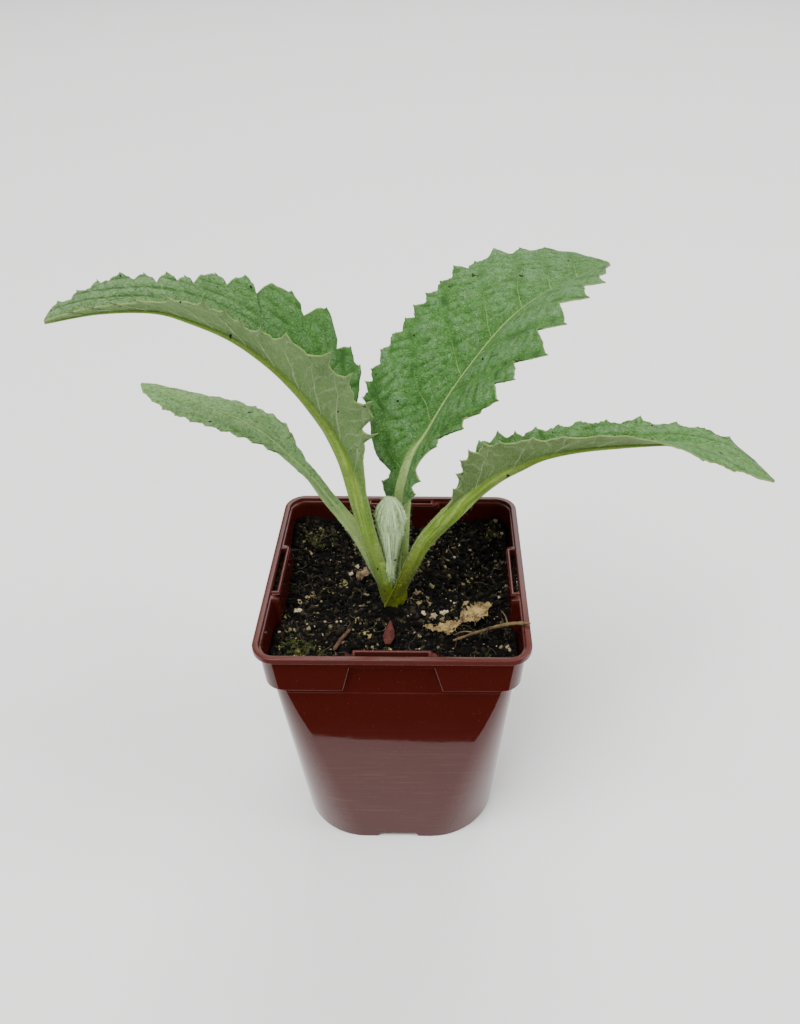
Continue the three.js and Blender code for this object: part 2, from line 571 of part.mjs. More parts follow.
// Thickens a grid of points into a closed sheet. Normals come from the grid itself, turned to the
// side that `facing` gives.
function sheetGeometry(upper, facing, depths, grow) {
  const rowCount = upper.length;
  const columnCount = upper[0].length;
  const clampRow = (row) => THREE.MathUtils.clamp(row, 0, rowCount - 1);
  const clampColumn = (column) => THREE.MathUtils.clamp(column, 0, columnCount - 1);
  const positions = [[], []];
  for (let row = 0; row < rowCount; row += 1) {
    for (let column = 0; column < columnCount; column += 1) {
      const lengthwise = upper[clampRow(row + 1)][column].clone().sub(upper[clampRow(row - 1)][column]);
      const across = upper[row][clampColumn(column + 1)].clone().sub(upper[row][clampColumn(column - 1)]);
      const normal = new THREE.Vector3().crossVectors(lengthwise, across).normalize();
      if (normal.dot(facing[row][column]) < 0) {
        normal.negate();
      }
      const top = upper[row][column].clone().addScaledVector(normal, grow);
      const bottom = upper[row][column].clone().addScaledVector(normal, -depths[row][column] - grow);
      positions[0].push(...top.toArray());
      positions[1].push(...bottom.toArray());
    }
  }
  const lower = rowCount * columnCount;
  const at = (row, column) => row * columnCount + column;
  const faces = [];
  for (let row = 0; row + 1 < rowCount; row += 1) {
    for (let column = 0; column + 1 < columnCount; column += 1) {
      const [a, b] = [at(row, column), at(row, column + 1)];
      const [c, d] = [at(row + 1, column + 1), at(row + 1, column)];
      faces.push(a, b, c, a, c, d);
      faces.push(a + lower, c + lower, b + lower, a + lower, d + lower, c + lower);
    }
  }
  const edge = (from, to) => faces.push(from, from + lower, to + lower, from, to + lower, to);
  for (let row = 0; row + 1 < rowCount; row += 1) {
    edge(at(row + 1, 0), at(row, 0));
    edge(at(row, columnCount - 1), at(row + 1, columnCount - 1));
  }
  for (let column = 0; column + 1 < columnCount; column += 1) {
    edge(at(0, column), at(0, column + 1));
    edge(at(rowCount - 1, column + 1), at(rowCount - 1, column));
  }
  const geometry = new THREE.BufferGeometry();
  geometry.setAttribute('position', new THREE.Float32BufferAttribute(positions.flat(), 3));
  geometry.setIndex(faces);
  return geometry;
}

function leafSolid(leaf, grow = 0) {
  return toSolid(leafGeometry(leaf, grow));
}

// A rod along a curve, with a rounded section that tapers from its first end to its last.
function rodSolid({ points, radii }, grow = 0) {
  const curve = new THREE.CatmullRomCurve3(points.map(([x, y, z]) => new THREE.Vector3(x, y, z)));
  const steps = (points.length - 1) * 3;
  const frames = curve.computeFrenetFrames(steps, false);
  const rings = [];
  for (let step = 0; step <= steps; step += 1) {
    const share = step / steps;
    const radius = THREE.MathUtils.lerp(radii[0], radii[1], share) + grow;
    const centre = curve.getPointAt(share);
    if (step === 0 || step === steps) {
      centre.addScaledVector(frames.tangents[step], step === 0 ? -grow : grow);
    }
    const ring = [];
    for (let side = 0; side < TWIG_SIDES; side += 1) {
      const angle = (side / TWIG_SIDES) * 2 * Math.PI;
      const point = centre.clone();
      point.addScaledVector(frames.normals[step], radius * Math.cos(angle));
      point.addScaledVector(frames.binormals[step], radius * Math.sin(angle));
      ring.push(point);
    }
    rings.push(ring);
  }
  return toSolid(loftRings(rings));
}

// A curled scrap: a strip along its spine, bent up or down at its two edges.
function scrapSolid({ spine, halfWidths, curl }, grow = 0) {
  const points = spine.map(([x, y, z]) => new THREE.Vector3(x, y, z));
  const up = new THREE.Vector3(0, 0, 1);
  const upper = [];
  const facing = [];
  const depths = [];
  points.forEach((point, row) => {
    const before = points[Math.max(0, row - 1)];
    const after = points[Math.min(points.length - 1, row + 1)];
    const forward = after.clone().sub(before).normalize();
    const side = new THREE.Vector3().crossVectors(up, forward).normalize();
    const end = grow * (row === 0 ? -1 : Number(row === points.length - 1));
    const line = SCRAP_COLUMNS.map((share) => {
      const across = share * (halfWidths[row] + grow);
      const rise = curl * share * share * Math.min(1, halfWidths[row] / 2);
      const place = point.clone().addScaledVector(side, across);
      return place.addScaledVector(up, rise).addScaledVector(forward, end);
    });
    upper.push(line);
    facing.push(line.map(() => up));
    depths.push(line.map(() => SCRAP_THICKNESS));
  });
  return toSolid(sheetGeometry(upper, facing, depths, grow));
}

function grains() {
  return GRAINS.map(([x, y, radius], index) => {
    const grain = new THREE.IcosahedronGeometry(radius, 0);
    grain.rotateX(index);
    grain.rotateZ(index * 2);
    grain.scale(1, 1, 0.8);
    grain.translate(x, y, soilHeight(x, y) + 0.2 * radius);
    return toSolid(grain);
  }).reduce((all, grain) => all.add(grain));
}

// Cuts room for the pieces in `others`, each already grown by the gap, out of a solid.
function makeRoom(solid, others) {
  return others.reduce((rest, other) => rest.subtract(other), solid);
}

// What is nearer the front of the rosette is cut first, and gives its shape to what is behind it.
const pieces = [
  ['crown', (grow) => toSolid(crownGeometry(grow)), colours.crown, 0.6],
  ['leaf_left_large', (grow) => leafSolid(LARGE_LEFT_LEAF, grow), colours.leaf, 0.6],
  ['leaf_right', (grow) => leafSolid(RIGHT_LEAF, grow), colours.leaf, 0.6],
  ['leaf_left_small', (grow) => leafSolid(SMALL_LEFT_LEAF, grow), colours.paleLeaf, 0.6],
  ['leaf_back_tall', (grow) => leafSolid(TALL_BACK_LEAF, grow), colours.leaf, 0.6],
  ['leaf_heart', (grow) => leafSolid(HEART_LEAF, grow), colours.heart, 0.7],
  ['dry_leaf', (grow) => scrapSolid(DRY_LEAF, grow), colours.dryLeaf, 0.9],
  ['red_scrap', (grow) => scrapSolid(RED_SCRAP, grow), colours.red, 0.7],
  ['bark_flake', (grow) => scrapSolid(BARK_FLAKE, grow), colours.bark, 0.9],
  ['twig_long', (grow) => rodSolid(LONG_TWIG, grow), colours.twig, 0.8],
  ['twig_short', (grow) => rodSolid(SHORT_TWIG, grow), colours.twig, 0.8],
];

const plant = new THREE.Group();
plant.add(namedMesh('pot', toGeometry(pot()), colours.pot, 0.35));
const grown = [];
for (const [name, shape, colour, roughness] of pieces) {
  plant.add(namedMesh(name, toGeometry(makeRoom(shape(0), grown)), colour, roughness));
  grown.push(shape(GAP));
}
const soil = makeRoom(soilBlock().add(grains()).intersect(potCavity(GAP)), grown);
plant.add(namedMesh('soil', toGeometry(soil), colours.soil, 0.95));

export default plant;
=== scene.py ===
"""A young globe artichoke in a square nursery pot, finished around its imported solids."""

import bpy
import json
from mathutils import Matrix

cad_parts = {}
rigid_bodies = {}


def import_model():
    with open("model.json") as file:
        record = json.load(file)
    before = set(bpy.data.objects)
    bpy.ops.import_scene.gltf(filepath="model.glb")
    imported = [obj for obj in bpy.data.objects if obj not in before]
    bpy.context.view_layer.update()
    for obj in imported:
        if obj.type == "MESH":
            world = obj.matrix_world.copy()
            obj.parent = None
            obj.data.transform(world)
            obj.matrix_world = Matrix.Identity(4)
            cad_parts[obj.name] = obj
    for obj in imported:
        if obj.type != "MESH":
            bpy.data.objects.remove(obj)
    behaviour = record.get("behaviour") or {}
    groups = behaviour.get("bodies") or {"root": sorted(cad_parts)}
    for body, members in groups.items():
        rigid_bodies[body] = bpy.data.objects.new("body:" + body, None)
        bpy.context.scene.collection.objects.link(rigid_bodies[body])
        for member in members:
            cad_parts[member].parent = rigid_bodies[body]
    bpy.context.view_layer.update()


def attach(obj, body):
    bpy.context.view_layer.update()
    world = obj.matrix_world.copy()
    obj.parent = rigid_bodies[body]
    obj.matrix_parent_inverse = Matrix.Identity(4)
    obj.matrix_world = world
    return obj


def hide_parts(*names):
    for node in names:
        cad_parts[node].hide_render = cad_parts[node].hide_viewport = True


bl_info = {
    "name": "Potted Globe Artichoke",
    "version": (1, 0, 0),
    "blender": (4, 5, 0),
    "location": "View3D > Sidebar > Artichoke",
    "description": "Builds the leaves, the soil, the pot and the stage of a potted globe artichoke",
    "category": "Object",
}

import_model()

import json
import math
from functools import partial
from types import SimpleNamespace

import bmesh
import bpy
import numpy as np
from bpy.props import FloatProperty, FloatVectorProperty, IntProperty, PointerProperty
from mathutils import Matrix, Vector, noise

# The tables and the shape functions are in millimetres. MM turns them into metres.
MM = 0.001
CROWN_X, CROWN_Y = -1.5, -4.0
# The stem's middle and its (radius, height) from the neck of the root to the top.
STEM_X, STEM_Y = CROWN_X + 0.9, CROWN_Y + 0.8
STEM_PROFILE = [
    (1.8, 80), (2.4, 84), (3.1, 88), (3.9, 91), (4.2, 93), (4.1, 95), (3.6, 97), (2.6, 98.8),
    (1.4, 100.2), (0.5, 100.8),
]

# Leaves. The midrib runs in a vertical plane that leaves the crown at `azimuth`, through points
# (reach, height). A fold is how far a half rises from level, (place along the leaf, degrees), and
# `cup` is how much steeper it is at its margin than at the midrib. Each margin is walked from the
# petiole to the tip as (along, out), in teeth and notches, with as many points left as right.
# Teeth are (bow, spine): a bow above 1 makes slender points, one below 1 round lobes, and the
# spine is the length of the point at their tips. `ruffle` is how far teeth dip and notches rise.
# `petiole` is the half width and the depth of the stalk, which starts `sink` before the midrib and
# is wider by the share `flare` at the crown. Between the places `stalk` it turns into a blade, along
# which the midrib keeps the share `rib` of its size. `raise` is how far the leaf rises at the
# midrib, by the stalk and along the blade, as a share of the depth there. `vein_count` side veins
# leave each side, with their slant and bend in `veins`. The blade swells by `pucker` between them
# and by `ridge` under them, and lengthwise furrows take over by the share `furrows` near the tip.
# `look` goes to leaf_material.
LEAVES = {
    "leaf_left_large": {
        "azimuth": 192,
        "midrib": [
            (2.6, 96.5), (4.7, 107.7), (7.9, 121), (11, 137), (13.5, 150.5), (17, 161), (20.5, 168),
            (26, 177), (33, 186), (42, 194.5), (52, 200.4), (61, 204), (74.5, 204.8), (88.5, 203.2),
        ],
        "left_fold": [(0, 22), (0.25, 45), (0.4, 60), (0.7, 58), (0.8, 50), (1, 45)],
        "right_fold": [(0, 22), (0.25, 45), (0.4, 58), (0.6, 52), (0.8, 42), (1, 35)],
        "cup": -22, "sink": 8, "flare": 0.4, "raise": (0.45, 0.2), "petiole": (2.7, 3.6),
        "stalk": (0.2, 0.33), "ruffle": (0.4, 0.4),
        "look": {"bloom": 0.5, "frost": 0.55, "foot": (0.1035, 0.0985)},
        "left_teeth": (2.3, 1.5), "right_teeth": (0.9, 0.7), "rib": 0.58, "pucker": 0.6, "ridge": 0.3,
        "veins": (1.5, 0.72), "vein_count": 12, "furrows": 1,
        "left": [
            (30, 3.4), (44, 3.8), (56, 6.2), (60.5, 8.5), (64, 14.5), (67, 10.5), (69.5, 17.5),
            (73.5, 18.5), (76, 14.5), (78.5, 16.5), (83, 20), (85.5, 15.5), (90.5, 20), (94, 13),
            (100, 13.5), (102, 9.5), (105, 9.5), (107, 6.5), (109, 8), (111, 7.5), (114, 11),
            (116.5, 8.5), (119.5, 12.5),
            (122.5, 8), (126.5, 8.2), (129.5, 4.6), (133, 5), (136, 3.4), (139, 3.9), (142, 2.8),
            (145, 3.2), (147.5, 2.3), (150, 2.4), (152, 1.7), (154, 1.5),
        ],
        "right": [
            (34, 3.4), (44, 3.8), (52, 5), (58, 6.5), (63, 8), (69, 12.5), (71, 16), (74.5, 20.5),
            (77, 19.5), (80, 22), (83, 17.5), (86, 21.5), (91, 25), (95, 17.5), (100, 21.5), (105, 20.5),
            (107.5, 14.5), (110.5, 18.5), (114, 13.5), (117, 15.5), (119.5, 14.5), (122, 10.5), (124, 12),
            (125.5, 9.5), (127.5, 11.5), (129.5, 8), (132, 10.5), (134.5, 8.5), (137.5, 10.5),
            (140.5, 8.8), (143, 9), (145, 6.8), (148, 7), (150, 4.6), (153, 4.6),
        ],
    },
    "leaf_left_small": {
        "azimuth": 168,
        "midrib": [
            (1.6, 95), (5, 105.7), (11.3, 119.2), (20.7, 132), (26.4, 140.2), (33.4, 147.5),
            (41, 154.2), (51.6, 159.7), (60, 162), (69, 164.5), (80, 167.2),
        ],
        "left_fold": [(0, 18), (0.45, 8), (0.6, -4), (1, -8)],
        "right_fold": [(0, 24), (0.45, 18), (0.6, 0), (1, -8)],
        "cup": -16, "sink": 4, "flare": 0, "raise": (0.1, 0), "petiole": (2.3, 3),
        "stalk": (0.3, 0.48), "ruffle": (0.2, 0.2),
        "look": {"bloom": 0.7, "pale": 0.6, "stalk": (0.38, 0.53, 0.18)},
        "left_teeth": (1.2, 0.3), "right_teeth": (1.0, 0.3), "rib": 0.34, "pucker": 0.4, "ridge": 0.1,
        "veins": (2.2, 0.85), "vein_count": 6, "furrows": 0.5,
        "left": [
            (34, 2.7), (48, 2.7), (56, 2.8), (61, 2.8), (65, 3), (68, 4.4), (70, 4.2), (73, 6),
            (75, 5.7), (78, 7.4), (80, 7), (83, 8.4), (85, 7.9), (88, 8.9), (90, 8.3), (93, 8.9),
            (95, 8.2), (98, 8.5), (100, 7.6), (102.5, 7.6), (104.5, 6.4), (107, 6), (109, 4.6),
            (111.5, 3.4),
        ],
        "right": [
            (30, 2.7), (40, 2.7), (48, 2.8), (53, 2.9), (56, 3.2), (59, 5.2), (61, 5.4), (64, 8.6),
            (65.5, 8.8), (68, 11.3), (70, 10.8), (73, 11.6), (75.5, 10.4), (79, 10.4), (81.5, 9),
            (85, 8.9), (87.5, 7.6), (91, 7.6), (93.5, 6.2), (97, 6), (99.5, 4.7), (103, 4.6),
            (106, 3.2), (110, 2.8),
        ],
    },
    "leaf_back_tall": {
        "azimuth": 44,
        "midrib": [
            (1.8, 99.7), (3.7, 120.5), (4.9, 134), (6.8, 140.7), (10.4, 148), (16, 152.8),
            (22.2, 159.3), (28.4, 165), (36.8, 171.2), (47.2, 177.7), (57, 182), (70.5, 185),
            (87.3, 186), (104.5, 187),
        ],
        "left_fold": [(0, 35), (0.22, 35), (0.35, 22), (0.6, 18), (1, 15)],
        "right_fold": [(0, 20), (0.22, 22), (0.35, 22), (0.6, 18), (1, 15)],
        "cup": -20, "sink": 5, "flare": 0, "raise": (0, 0), "petiole": (2.6, 3.4),
        "stalk": (0.05, 0.17), "ruffle": (0.2, 1),
        "look": {"bloom": 0.6, "frost": 0.1, "stalk": (0.42, 0.6, 0.21)},
        "left_teeth": (1.0, 0.5), "right_teeth": (1.3, 0.5), "rib": 0.28, "pucker": 1.0, "ridge": 0.3,
        "veins": (0.85, 1.1), "vein_count": 8, "furrows": 0,
        "left": [
            (24, 3.2), (32, 4.5), (37.5, 6.8), (39.5, 5), (41.5, 5.2), (43.5, 9.5), (46, 12),
            (52.5, 19.5), (55.5, 25), (59.5, 24.5), (62, 27), (63.5, 25), (66, 27.5), (69, 25.8),
            (72.5, 28.5), (75, 26.6), (78.5, 28.5), (81, 26.3), (85, 28.5), (87, 26), (90, 29),
            (93, 26.2), (95.5, 28.5), (98.5, 26.2), (101.5, 28), (104.5, 26), (108.5, 29.5),
            (111, 25), (114.5, 25.6), (118, 24), (124.5, 27), (127, 21.5), (133, 22.5), (136, 19),
            (142, 18.5), (145, 14), (149.5, 10.5), (151.5, 6.5), (154, 3.6),
        ],
        "right": [
            (26, 3.2), (33, 4.4), (38.5, 9), (40.5, 6.6), (43.5, 9.5), (46, 6), (50, 7), (54, 9.5),
            (58, 9), (61, 13), (63.5, 17), (66, 15.5), (69.5, 20), (71.5, 22), (74.5, 24.3),
            (77, 21), (79.5, 18), (80.8, 22), (82, 25), (85, 22.5), (88, 19.5), (90, 25),
            (92.7, 29.3), (96.5, 24), (100, 18), (102.3, 21.5), (104.7, 25.2), (109, 20.5),
            (113, 14.5), (116.5, 17), (120.5, 19.5), (125, 14.5), (128, 11.5), (131, 13.5),
            (135, 14.5), (139.5, 9), (144, 8.5), (148, 5), (152, 4),
        ],
    },
    "leaf_right": {
        "azimuth": -12,
        "midrib": [
            (3.4, 95), (8.2, 107), (13.3, 118.8), (23, 132.6), (28, 140), (35, 147.8), (42, 153.2),
            (48, 157.3), (57.3, 161), (67.7, 163.8), (80, 166.5), (87, 167.2), (93.5, 166.7),
            (101.2, 164.4), (113.2, 158.4),
        ],
        "left_fold": [(0, 18), (0.35, 60), (0.5, 58), (0.7, 40), (0.85, 15), (1, 0)],
        "right_fold": [
            (0, 18), (0.33, 74), (0.48, 72), (0.55, 62), (0.7, 50), (0.78, 28), (0.86, 0), (1, -10),
        ],
        "cup": -20, "sink": 8, "flare": 0.6, "raise": (0.8, 0.5), "petiole": (2.6, 3.4),
        "stalk": (0.22, 0.33), "ruffle": (0.3, 0.3),
        "look": {
            "bloom": 0.75, "olive": 0.45, "pale": 0.15, "stalk": (0.15, 0.26, 0.008), "foot": (0.125, 0.103),
        },
        "left_teeth": (1.1, 0.4), "right_teeth": (1.3, 0.6), "rib": 0.55, "pucker": 0.5, "ridge": 0.3,
        "veins": (1.0, 0.8), "vein_count": 9, "furrows": 0.9,
        "left": [
            (30, 3.2), (38, 3.4), (43, 3.4), (47, 4.5), (51, 8), (53.5, 6.8), (56.5, 11.5), (59, 10),
            (62, 13.5), (64.5, 11), (67.5, 13), (70, 9.8), (73, 10.5), (75, 8), (78, 9.5),
            (80.5, 7.2), (84, 8.9), (86.5, 7.3), (90, 8.7), (93.5, 7.4), (97, 8.2), (101, 6.6),
            (106.5, 8.8), (111, 5.9), (116, 7.2), (119.5, 6), (123.5, 7.8), (127, 6.6), (131, 8),
            (135, 5.8), (140, 4.6),
        ],
        "right": [
            (28, 3.2), (36, 3.4), (42, 3.2), (46, 3.8), (50, 7), (52.5, 6), (55, 11), (57, 9.8),
            (59.5, 14.5), (61, 12.8), (63, 15.5), (64.5, 13), (67, 15.5), (69, 13), (71.5, 13.5),
            (75, 10.5), (79, 11), (82, 8.2), (87, 9.5), (91, 7.5), (96, 9.5), (100, 7.6),
            (105, 9.4), (109, 7.6), (114, 9.2), (118, 7.6), (123, 8.6), (127.5, 6.6),
            (132.5, 6.4), (136.5, 4.2), (141, 3.2),
        ],
    },
    "leaf_heart": {
        "azimuth": -96,
        "midrib": [
            (1.6, 98.5), (2.4, 105.5), (3, 113), (3.4, 120), (3.3, 126), (2.6, 130.5), (1.4, 133.5),
            (0.2, 136),
        ],
        "left_fold": [(0, 50), (0.5, 42), (0.8, 34), (1, 20)],
        "right_fold": [(0, 50), (0.5, 42), (0.8, 34), (1, 20)],
        "cup": 26, "sink": 2, "flare": 0, "raise": (0, 0), "petiole": (1.1, 1.5),
        "stalk": (0.12, 0.3), "ruffle": (0.2, 0.2),
        "look": {"bloom": 0.9, "pale": 0.5, "wool": 0.95, "foot": (0.107, 0.1)},
        "left_teeth": (1.2, 0.8), "right_teeth": (1.2, 0.8), "rib": 0.34, "pucker": 0.3, "ridge": 0.2,
        "veins": (2.0, 0.9), "vein_count": 5, "furrows": 0,
        "left": [
            (6, 1.9), (12, 2.7), (17, 3.9), (21, 4.6), (24, 5.6), (27, 5.7), (29.5, 6.4), (32, 5.9),
            (34.5, 5.4), (36.6, 3.6), (38, 1.8),
        ],
        "right": [
            (7, 1.9), (13, 2.8), (18, 4.1), (22, 4.9), (25, 5.8), (27.5, 5.8), (30, 6.2), (32.5, 5.6),
            (34.8, 4.6), (36.6, 2.8), (38, 1.4),
        ],
    },
}

# How a leaf is gridded: rows of its petiole, finer steps between two margin points, columns of the
# rib and of the blade on each half, and points along the midrib.
PETIOLE_ROWS, SUB_ROWS = 6, 5
RIB_COLUMNS, BLADE_COLUMNS = 8, 34
SPINE_STEPS = 2000
# Its proportions in millimetres, apart from the slant of its rows, the height that leaves the blade
# flat, the scale of its flat map and the colour of its foot.
PETIOLE_WING, TIP_HALF_WIDTH, SOFT_EDGE = 0.3, 0.5, 9
ROOT_LENGTH, FLARE_LENGTH, RAISE_REACH = 14, 17, 6
TOOTH_DEPTH, NICK, LEAST_STEP = 4, 0.7, 0.8
VEIN_SLANT, SLANT_REACH, LADDER_PITCH = 0.55, 20.0, 3.5
FLAT_PILLOW, FLAT_SCALE = 0.75, 0.01
FOOT_OLIVE = (0.135, 0.17, 0.004)

# What lies on the soil. A scrap is a strip along (x, y, z) points with a half width at each. `rag`
# is how ragged its edges are, and holes open where its wear is above `lace`.
SCRAPS = {
    "dry_leaf": {
        "spine": [
            (9.4, -18.2, 92.6), (13.5, -19.3, 92.7), (17.3, -20, 93.2), (20.4, -18.4, 94),
            (24.5, -15.6, 94.2), (28.8, -12.4, 94.6), (32.4, -10.4, 95.6),
        ],
        "half_widths": [0.3, 1.5, 2.6, 1.1, 3.3, 3.6, 1.0],
        "curl": 0.7, "rag": 0.35, "crumple": 0.9, "lace": 0.66,
    },
    "red_scrap": {
        "spine": [(-2.2, -26.2, 92.2), (-2, -23.4, 92.9), (-1.8, -20.4, 93.8), (-1.6, -17.6, 94.6)],
        "half_widths": [0.8, 1.6, 2.0, 1.7, 1.0, 0.2],
        "curl": -0.9, "rag": 0.1, "crumple": 0.2, "lace": 9,
    },
    "bark_flake": {
        "spine": [(-15.2, 8.6, 92.6), (-13, 8.8, 93.4), (-10.4, 8.2, 93.8)],
        "half_widths": [1.8, 2.9, 1.5], "curl": -0.6, "rag": 0.5, "crumple": 0.8, "lace": 0.9,
    },
}
TWIGS = {
    "twig_long": {
        "points": [
            (19.5, -25, 92.6), (26, -25.4, 96.2), (32.5, -26.2, 99.9), (38.5, -27.2, 102.5),
            (44, -28, 103.5),
        ],
        "radii": (0.42, 0.62),
        "forks": [
            [(27, -25.6, 96.6), (23, -23.6, 95.4), (19.4, -23.2, 93.4)],
            [(36.8, -26.9, 101.8), (36.2, -24.4, 103), (35, -22.2, 103.4)],
        ],
    },
    "twig_short": {
        "points": [(-15.2, -20.4, 92.7), (-17.4, -25, 93.1), (-19.6, -30.2, 92.9)],
        "radii": (0.55, 0.7),
        "forks": [],
    },
}
# Grains of perlite half sunk in the soil, (x, y, radius, lightness), and patches of moss
# and small yellow tufts, (x, y, radius).
GRAINS = [
    (-33.9, -10.3, 1.1, 0.8), (9.2, -10.3, 1, 0.9), (13, -11.8, 1.3, 0.3), (16.5, -9.6, 1.2, 0.7),
    (-15.2, 14.5, 0.9, 1), (37.2, -28, 1.2, 0.5), (-17.2, 10.2, 0.9, 0.9), (7, -1.5, 1.1, 0.2),
    (10.4, -3.2, 0.9, 0.1),
]
MOSS = [
    (-32, -28, 9), (-25, -34, 7), (28, -36, 7), (18, -37, 4), (-30, 29, 8), (34, 30, 4),
    (-2.2, -28.5, 2.8),
]
TUFTS = [
    (-30.7, -1.6, 2), (-19.5, 6.1, 1.9), (-25.4, 2.3, 1.5), (-13.3, -13.7, 2.1), (26.2, 8.1, 1.9),
    (37, 30.5, 1.9), (23, -6.7, 1.4), (-2.2, -28.5, 1.8), (-11, -22, 1.6), (-31, 33, 2.2),
    (21, -37, 2.4), (12, 3, 1.3), (8, 11, 1.2),
]
# The soil's mean height, the cells along a side of its top, and where it is banked up, (x, y, rise).
SOIL_Z, SOIL_GRID = 91, 150
SOIL_BANKS = [(-38, 38, 3.2), (38, 38, 2.4)]

# The stage. The flag is a dark sheet that shows only in reflections. Lights are (place, width, share
# of the key light's power). They, the camera's place and the floor's size are in metres, and the
# camera, with its turns in degrees, is the one that fits the pot in the photo.
FLOOR_SIZE, FLOOR_DROP = 14.0, 0.05
FLAG_OUTLINE, FLAG_RISE = [(-300, -600), (300, -600), (300, -79), (0, -79), (-300, -100)], 0.5
LIGHTS = {
    "key": ((-1.26, -1.35, 4.3), 2.7, 1.0),
    "side": ((2.9, -0.36, 2.16), 2.0, 0.28),
    "back": ((0.36, 3.06, 3.06), 2.7, 0.35),
}
LIGHT_AIM = (0, 0, 0.1)
CAMERA_PLACE = (0.01316, -0.23253, 0.2964)
CAMERA_TILT, CAMERA_ROLL, CAMERA_SHIFT = 53.917, 0.403, -0.0343


def length_setting(name, description, default):
    """A length in metres that the panel shows."""
    return FloatProperty(name=name, description=description, default=default, unit="LENGTH")


def colour_setting(name, description, *default):
    """A colour that the panel shows."""
    return FloatVectorProperty(name=name, description=description, default=default, subtype="COLOR")


class ArtichokePot(bpy.types.PropertyGroup):
    """Sizes and colours of the pot."""
    height: length_setting("Height", "From the foot to the top of the lip", 0.1025)
    rim: length_setting("Rim width", "Width over the outside of the lip", 0.088)
    wall: length_setting("Wall", "Thickness of the moulded wall", 0.0009)
    edge: length_setting("Edge radius", "Rounding of the moulded edges", 0.0003)
    colour: colour_setting("Plastic", "Colour of the pot's plastic", 0.052, 0.0066, 0.0046)
    # The colour of the hazy lower half: partly dried water on the plastic, partly a painted reflection of the
    # bright floor.
    haze_and_painted_reflection: colour_setting("Haze", "Colour of the dried water film on the lower half", 0.064, 0.011, 0.0085)


class ArtichokeLeaves(bpy.types.PropertyGroup):
    """Sizes and colours of the leaves."""
    thickness: length_setting("Blade", "Thickness of the blade beside the midrib", 0.00065)
    margin: length_setting("Margin", "Thickness of the blade at its margin", 0.0004)
    hair: length_setting("Hair", "Length of the hairs on the petioles", 0.001)
    green: colour_setting("Upper side", "Colour of the upper side between the veins", 0.063, 0.185, 0.026)
    # This grey is also laid on the swellings of the upper side, partly as a painted highlight.
    bloom: colour_setting("Bloom", "Colour of the thin grey felt on the upper side", 0.142, 0.27, 0.118)
    lower: colour_setting("Lower side", "Colour of the lower side", 0.14, 0.255, 0.072)
    vein: colour_setting("Veins", "Colour of the midrib and the side veins", 0.3, 0.42, 0.13)
    petiole: colour_setting("Petiole", "Colour of the leaf stalk", 0.175, 0.31, 0.024)
    down: colour_setting("Down", "Colour of the hairs", 0.74, 0.98, 0.54)


class ArtichokeSoil(bpy.types.PropertyGroup):
    """Sizes and colours of the soil and what lies on it."""
    crumb: length_setting("Crumb", "Width of a large crumb", 0.0026)
    fibre: length_setting("Fibre", "Length of a long fibre", 0.009)
    seed: IntProperty(name="Seed", description="Seed of the scattered pieces", default=7)
    colour: colour_setting("Soil", "Colour of the damp soil", 0.0013, 0.0012, 0.001)
    perlite: colour_setting("Perlite", "Colour of the perlite grains", 0.44, 0.38, 0.24)
    moss: colour_setting("Moss", "Colour of the moss", 0.12, 0.14, 0.03)


class ArtichokeStage(bpy.types.PropertyGroup):
    """Floor, lights and camera."""
    floor: colour_setting("Floor", "Colour of the floor", 0.9, 0.9, 0.89)
    key: FloatProperty(name="Key light", description="Power of the key light", default=285.0)
    fill: FloatProperty(name="Fill", description="Strength of the light from all round", default=0.4)
    lens: FloatProperty(name="Lens", description="Focal length in millimetres", default=30.595)


def rgba(tone):
    """A colour with its alpha, or the socket that gives one."""
    return tone if isinstance(tone, bpy.types.NodeSocket) else (*tone[:3], 1.0)


class Nodes:
    """Adds nodes to a tree and links them in one call."""

    def __init__(self, tree):
        self.tree = tree

    def add(self, kind, inputs=None, **settings):
        node = self.tree.nodes.new(kind)
        for name, value in settings.items():
            setattr(node, name, value)
        for socket, value in (inputs or {}).items():
            if isinstance(value, bpy.types.NodeSocket):
                self.tree.links.new(value, node.inputs[socket])
            else:
                node.inputs[socket].default_value = value
        return node

    def math(self, operation, *values):
        return self.add("ShaderNodeMath", dict(enumerate(values)), operation=operation).outputs[0]

    def times(self, first, second):
        return self.math("MULTIPLY", first, second)

    def from_whole(self, value):
        """How far a value is from the nearest whole number."""
        part = self.math("FRACT", self.math("ADD", value, 0.5))
        return self.math("ABSOLUTE", self.math("SUBTRACT", part, 0.5))

    def ramp(self, value, low, high, start=0.0, end=1.0):
        inputs = {0: value, 1: low, 2: high, 3: start, 4: end}
        return self.add("ShaderNodeMapRange", inputs, interpolation_type="SMOOTHSTEP").outputs[0]

    def mix(self, share, first, second):
        inputs = {0: share, 6: rgba(first), 7: rgba(second)}
        return self.add("ShaderNodeMix", inputs, data_type="RGBA").outputs[2]

    def coats(self, colour, *coats):
        """Lays each (share, tone) over the colour in turn."""
        for share, tone in coats:
            colour = self.mix(share, colour, tone)
        return colour

    def noise(self, vector, scale, detail=3.0, roughness=0.55):
        inputs = {"Vector": vector, "Scale": scale, "Detail": detail, "Roughness": roughness}
        return self.add("ShaderNodeTexNoise", inputs).outputs[0]

    def cells(self, vector, scale):
        """Distance to the border of rounded cells."""
        inputs = {"Vector": vector, "Scale": scale}
        cells = self.add("ShaderNodeTexVoronoi", inputs, feature="DISTANCE_TO_EDGE")
        return cells.outputs["Distance"]

    def attribute(self, name):
        return self.add("ShaderNodeAttribute", attribute_name=name).outputs["Fac"]

    def part(self, vector, axis):
        return self.add("ShaderNodeSeparateXYZ", {0: vector}).outputs[axis]

    def stretched(self, vector, scale):
        return self.add("ShaderNodeMapping", {"Vector": vector, "Scale": scale}).outputs[0]

    def coordinates(self, scale=(1, 1, 1)):
        return self.stretched(self.add("ShaderNodeTexCoord").outputs["Object"], scale)


